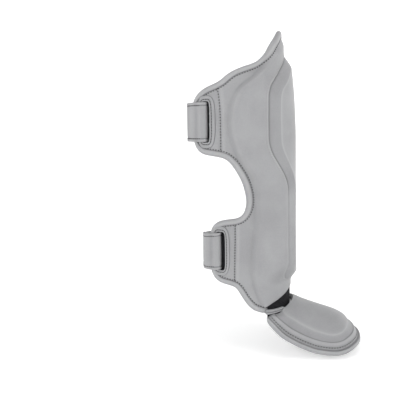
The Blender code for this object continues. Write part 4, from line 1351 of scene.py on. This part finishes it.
def makeFootStrip(edge):
    along = alongLine(edge)
    level = along * (1, 1, 0)
    level = level / np.linalg.norm(level, axis=1)[:, None]
    aside = np.stack([level[:, 1], -level[:, 0], np.zeros(len(level))], 1)
    down = np.cross(along, aside)
    down = down * np.sign(-down[:, 2])[:, None]
    angle = np.linspace(0, 2 * math.pi, footStrip["points"], endpoint=False)
    place = np.arange(len(edge))
    ends = ease(np.minimum(place, place[::-1]) / footStrip["endPlaces"])[:, None]
    size = footStrip["endShare"] + (1 - footStrip["endShare"]) * ends
    sections = []
    for turn in angle:
        across = footStrip["wide"] * signedPower(np.cos(turn), footStrip["power"])
        fall = footStrip["tall"] * signedPower(np.sin(turn), footStrip["power"])
        sections.append(edge + down * (footStrip["sink"] + fall * size) + aside * across * size)
    # painted shade at the strip's top and a painted highlight on its upper side
    lower = np.sin(angle)
    paintedShading = footStrip["darkShade"] * (lower < footStrip["darkTo"])
    paintedShading = paintedShading - footStrip["paleShade"] * (np.abs(lower - footStrip["paleAt"]) < footStrip["paleRun"])
    strip = sweepPiece("footStrip", np.array(sections).transpose(1, 0, 2), paintedShading)
    finishPiece(strip, stripLeather, "leather_binding", "foot_binding")


# floor

def makeFloor():
    profile = evenly(np.array(studio["floorProfile"]), studio["floorRings"])
    angle = np.linspace(0, 2 * math.pi, studio["floorColumns"])
    across, rise = profile[:, :1], profile[:, 1:] + studio["floorHeight"] + 0 * angle
    points = np.stack([across * np.cos(angle), across * np.sin(angle), rise], -1)
    floor = closeSeams(gridPiece("studioFloor", points), turnOut=False)
    floor.data.materials.clear()
    floor.data.materials.append(floorPaper)


# materials

def newMaterial(name):
    made = bpy.data.materials.new(name)
    made.use_nodes = True
    return made, made.node_tree.nodes, made.node_tree.links, made.node_tree.nodes["Principled BSDF"]


# the next four add one node each, link it and give back its outcome

def noise(nodes, links, place, scale, detail, rough=0.55, twist=0.0):
    node = nodes.new("ShaderNodeTexNoise")
    node.inputs["Scale"].default_value = scale
    node.inputs["Detail"].default_value = detail
    node.inputs["Roughness"].default_value = rough
    node.inputs["Distortion"].default_value = twist
    links.new(place, node.inputs["Vector"])
    return node.outputs["Fac"]


# a value between low and high becomes one between outLow and outHigh
def between(nodes, links, value, low, high, outLow, outHigh):
    node = nodes.new("ShaderNodeMapRange")
    for key, number in (("From Min", low), ("From Max", high), ("To Min", outLow), ("To Max", outHigh)):
        node.inputs[key].default_value = number
    links.new(value, node.inputs["Value"])
    return node.outputs["Result"]


def bump(nodes, links, height, strength, distance, before=None):
    node = nodes.new("ShaderNodeBump")
    node.inputs["Strength"].default_value = strength
    node.inputs["Distance"].default_value = distance
    links.new(height, node.inputs["Height"])
    if before is not None:
        links.new(before, node.inputs["Normal"])
    return node.outputs["Normal"]


def mixTone(nodes, links, share, first, second):
    node = nodes.new("ShaderNodeMix")
    node.data_type = "RGBA"
    links.new(share, node.inputs["Factor"])
    for socket, value in ((node.inputs[6], first), (node.inputs[7], second)):
        if isinstance(value, tuple):
            socket.default_value = value
        else:
            links.new(value, socket)
    return node.outputs[2]


def leather(name, settings):
    made, nodes, links, shader = newMaterial(name)
    place = nodes.new("ShaderNodeTexCoord").outputs["Object"]
    cells = nodes.new("ShaderNodeTexVoronoi")
    cells.feature = "SMOOTH_F1"
    cells.inputs["Scale"].default_value = settings["pebble"]
    cells.inputs["Smoothness"].default_value = 0.6
    links.new(place, cells.inputs["Vector"])
    fine = noise(nodes, links, place, settings["pebble"] * 2.2, 4)
    broad = noise(nodes, links, place, settings["broad"], 3, 0.5, 0.4)
    creases = noise(nodes, links, place, settings["crease"], 5, 0.6, 1.6)
    patches = between(nodes, links, broad, 0.3, 0.7, 0, 1)
    tone = mixTone(nodes, links, patches, settings["dark"], settings["light"])
    paintedShading = nodes.new("ShaderNodeAttribute")
    paintedShading.attribute_name = "paintedShading"  # above nought: painted shade in seams, grooves and under edges; below: a painted highlight on ridges and crests
    edge = nodes.new("ShaderNodeNewGeometry").outputs["Pointiness"]
    # pores pale the grain; sharp edges are paled as wear and as a painted highlight on crests; the
    # painted shading darkens and pales the tone
    for share, overlaid in (
        (between(nodes, links, cells.outputs["Distance"], 0.25, 0.75, 0, settings["pore"]), "wornAndHighlight"),
        (between(nodes, links, edge, 0.515, 0.60, 0, settings["edgeWearAndHighlight"]), "wornAndHighlight"),
        (between(nodes, links, paintedShading.outputs["Fac"], 0, 1, 0, 0.85), "seam"),
        (between(nodes, links, paintedShading.outputs["Fac"], 0, -1, 0, 0.9), "wornAndHighlight"),
    ):
        tone = mixTone(nodes, links, share, tone, settings[overlaid])
    links.new(tone, shader.inputs["Base Color"])
    links.new(between(nodes, links, fine, 0.3, 0.7, *settings["gloss"]), shader.inputs["Roughness"])
    shader.inputs["Specular IOR Level"].default_value = settings["specular"]
    shader.inputs["Sheen Weight"].default_value = settings["sheen"]
    shader.inputs["Sheen Roughness"].default_value = 0.45
    low = bump(nodes, links, creases, settings["creaseBump"], 0.0009)
    mid = bump(nodes, links, cells.outputs["Distance"], settings["pebbleBump"], 0.00022, low)
    links.new(bump(nodes, links, fine, 0.25, 0.00008, mid), shader.inputs["Normal"])
    return made


def cloth(name, settings):
    made, nodes, links, shader = newMaterial(name)
    place = nodes.new("ShaderNodeTexCoord").outputs["Object"]
    wave = nodes.new("ShaderNodeTexWave")
    wave.bands_direction = "Z"
    wave.inputs["Scale"].default_value = settings["rib"]
    wave.inputs["Distortion"].default_value = 0.4
    wave.inputs["Detail Scale"].default_value = 3.0
    links.new(place, wave.inputs["Vector"])
    fuzz = noise(nodes, links, place, 1500, 3)
    broad = noise(nodes, links, place, 40, 3)
    patches = between(nodes, links, broad, 0.3, 0.7, 0, 1)
    tone = mixTone(nodes, links, patches, settings["dark"], settings["light"])
    raised = between(nodes, links, fuzz, 0.45, 0.8, 0, 0.35)
    tone = mixTone(nodes, links, raised, tone, settings["wornAndHighlight"])
    links.new(tone, shader.inputs["Base Color"])
    links.new(between(nodes, links, fuzz, 0.3, 0.7, 0.78, 0.94), shader.inputs["Roughness"])
    shader.inputs["Sheen Weight"].default_value = 0.03
    shader.inputs["Specular IOR Level"].default_value = 0.12
    low = bump(nodes, links, wave.outputs["Fac"], settings["ribBump"], 0.0006)
    links.new(bump(nodes, links, fuzz, 0.5, 0.0002, low), shader.inputs["Normal"])
    return made


plainLeather = {
    "dark": (0.285, 0.286, 0.294, 1),
    "light": (0.325, 0.327, 0.335, 1),
    # worn is the colour of wear and of painted highlights; seam is the colour of painted shade
    "wornAndHighlight": (0.450, 0.452, 0.460, 1),
    "seam": (0.090, 0.090, 0.094, 1),
    "pebble": 820,
    "broad": 26,
    "crease": 95,
    "pore": 0.16,
    "edgeWearAndHighlight": 0.5,
    "gloss": (0.40, 0.56),
    "specular": 0.42,
    "sheen": 0.08,
    "creaseBump": 0.16,
    "pebbleBump": 0.30,
}
coverLeather = leather("coverLeather", plainLeather)
panelLeather = leather("panelLeather", {**plainLeather, "creaseBump": 0.10, "gloss": (0.38, 0.52)})
footLeather = leather("footLeather", {**plainLeather, "creaseBump": 0.14})
strapLeather = leather("strapLeather", {
    **plainLeather,
    "creaseBump": 0.30,
    "crease": 70,
    "gloss": (0.44, 0.6),
})
stripLeather = leather("stripLeather", {
    **plainLeather,
    "creaseBump": 0.35,
    "crease": 140,
    "edgeWearAndHighlight": 0.3,
})
thread = leather("thread", {
    **plainLeather,
    "dark": (0.030, 0.030, 0.032, 1),
    "light": (0.055, 0.055, 0.058, 1),
    "wornAndHighlight": (0.160, 0.160, 0.165, 1),
    "edgeWearAndHighlight": 0.1,
    "gloss": (0.55, 0.7),
})
ribbedCloth = cloth("ribbedCloth", {
    "dark": (0.006, 0.006, 0.007, 1),
    "light": (0.014, 0.014, 0.016, 1),
    "wornAndHighlight": (0.034, 0.034, 0.037, 1),
    "rib": 130,
    "ribBump": 0.8,
})
liningCloth = cloth("liningCloth", {
    "dark": (0.006, 0.006, 0.007, 1),
    "light": (0.013, 0.013, 0.015, 1),
    "wornAndHighlight": (0.030, 0.030, 0.033, 1),
    "rib": 420,
    "ribBump": 0.3,
})


def makeFloorPaper():
    made, nodes, links, shader = newMaterial("floorPaper")
    place = nodes.new("ShaderNodeTexCoord").outputs["Object"]
    patches = noise(nodes, links, place, 3, 2)
    tone = mixTone(nodes, links, patches, studio["floorTone"], studio["floorPatches"])
    links.new(tone, shader.inputs["Base Color"])
    shader.inputs["Roughness"].default_value = 0.9
    shader.inputs["Emission Color"].default_value = (1, 1, 1, 1)
    shader.inputs["Emission Strength"].default_value = studio["floorGlow"]
    return made


floorPaper = makeFloorPaper()

setCamera()
setLamps()
makeFloor()
print("camera, lamps and floor made")
coverAround, coverHeight = shellRows()
makeCover(coverAround, coverHeight)
makeLining(coverAround, coverHeight)
print("shell cover and lining made")
makePanel()
print("front panel made")
rim = rimLine(coverAround, coverHeight)
makeRimStrip(rim)
print("rim strip made")
sewShell(rim)
makeSlotRing("upperSlotRing", slots["upper"], "upper_slot_patch")
makeSlotRing("lowerSlotRing", slots["lower"], "lower_slot_patch")
print("slot rings made")
makeStrap("upperStrap", "upper", "upper_strap")
makeStrap("lowerStrap", "lower", "lower_strap")
print("straps made")
makeWebbing()
makeTab("nearTab", -1, "ankle_tab_left")
makeTab("farTab", 1, "ankle_tab_right")
print("ankle cloth and tabs made")
makeFoot()
makeStitches("seamThread", thread, "strap_leather")
print("foot pad and stitches made")
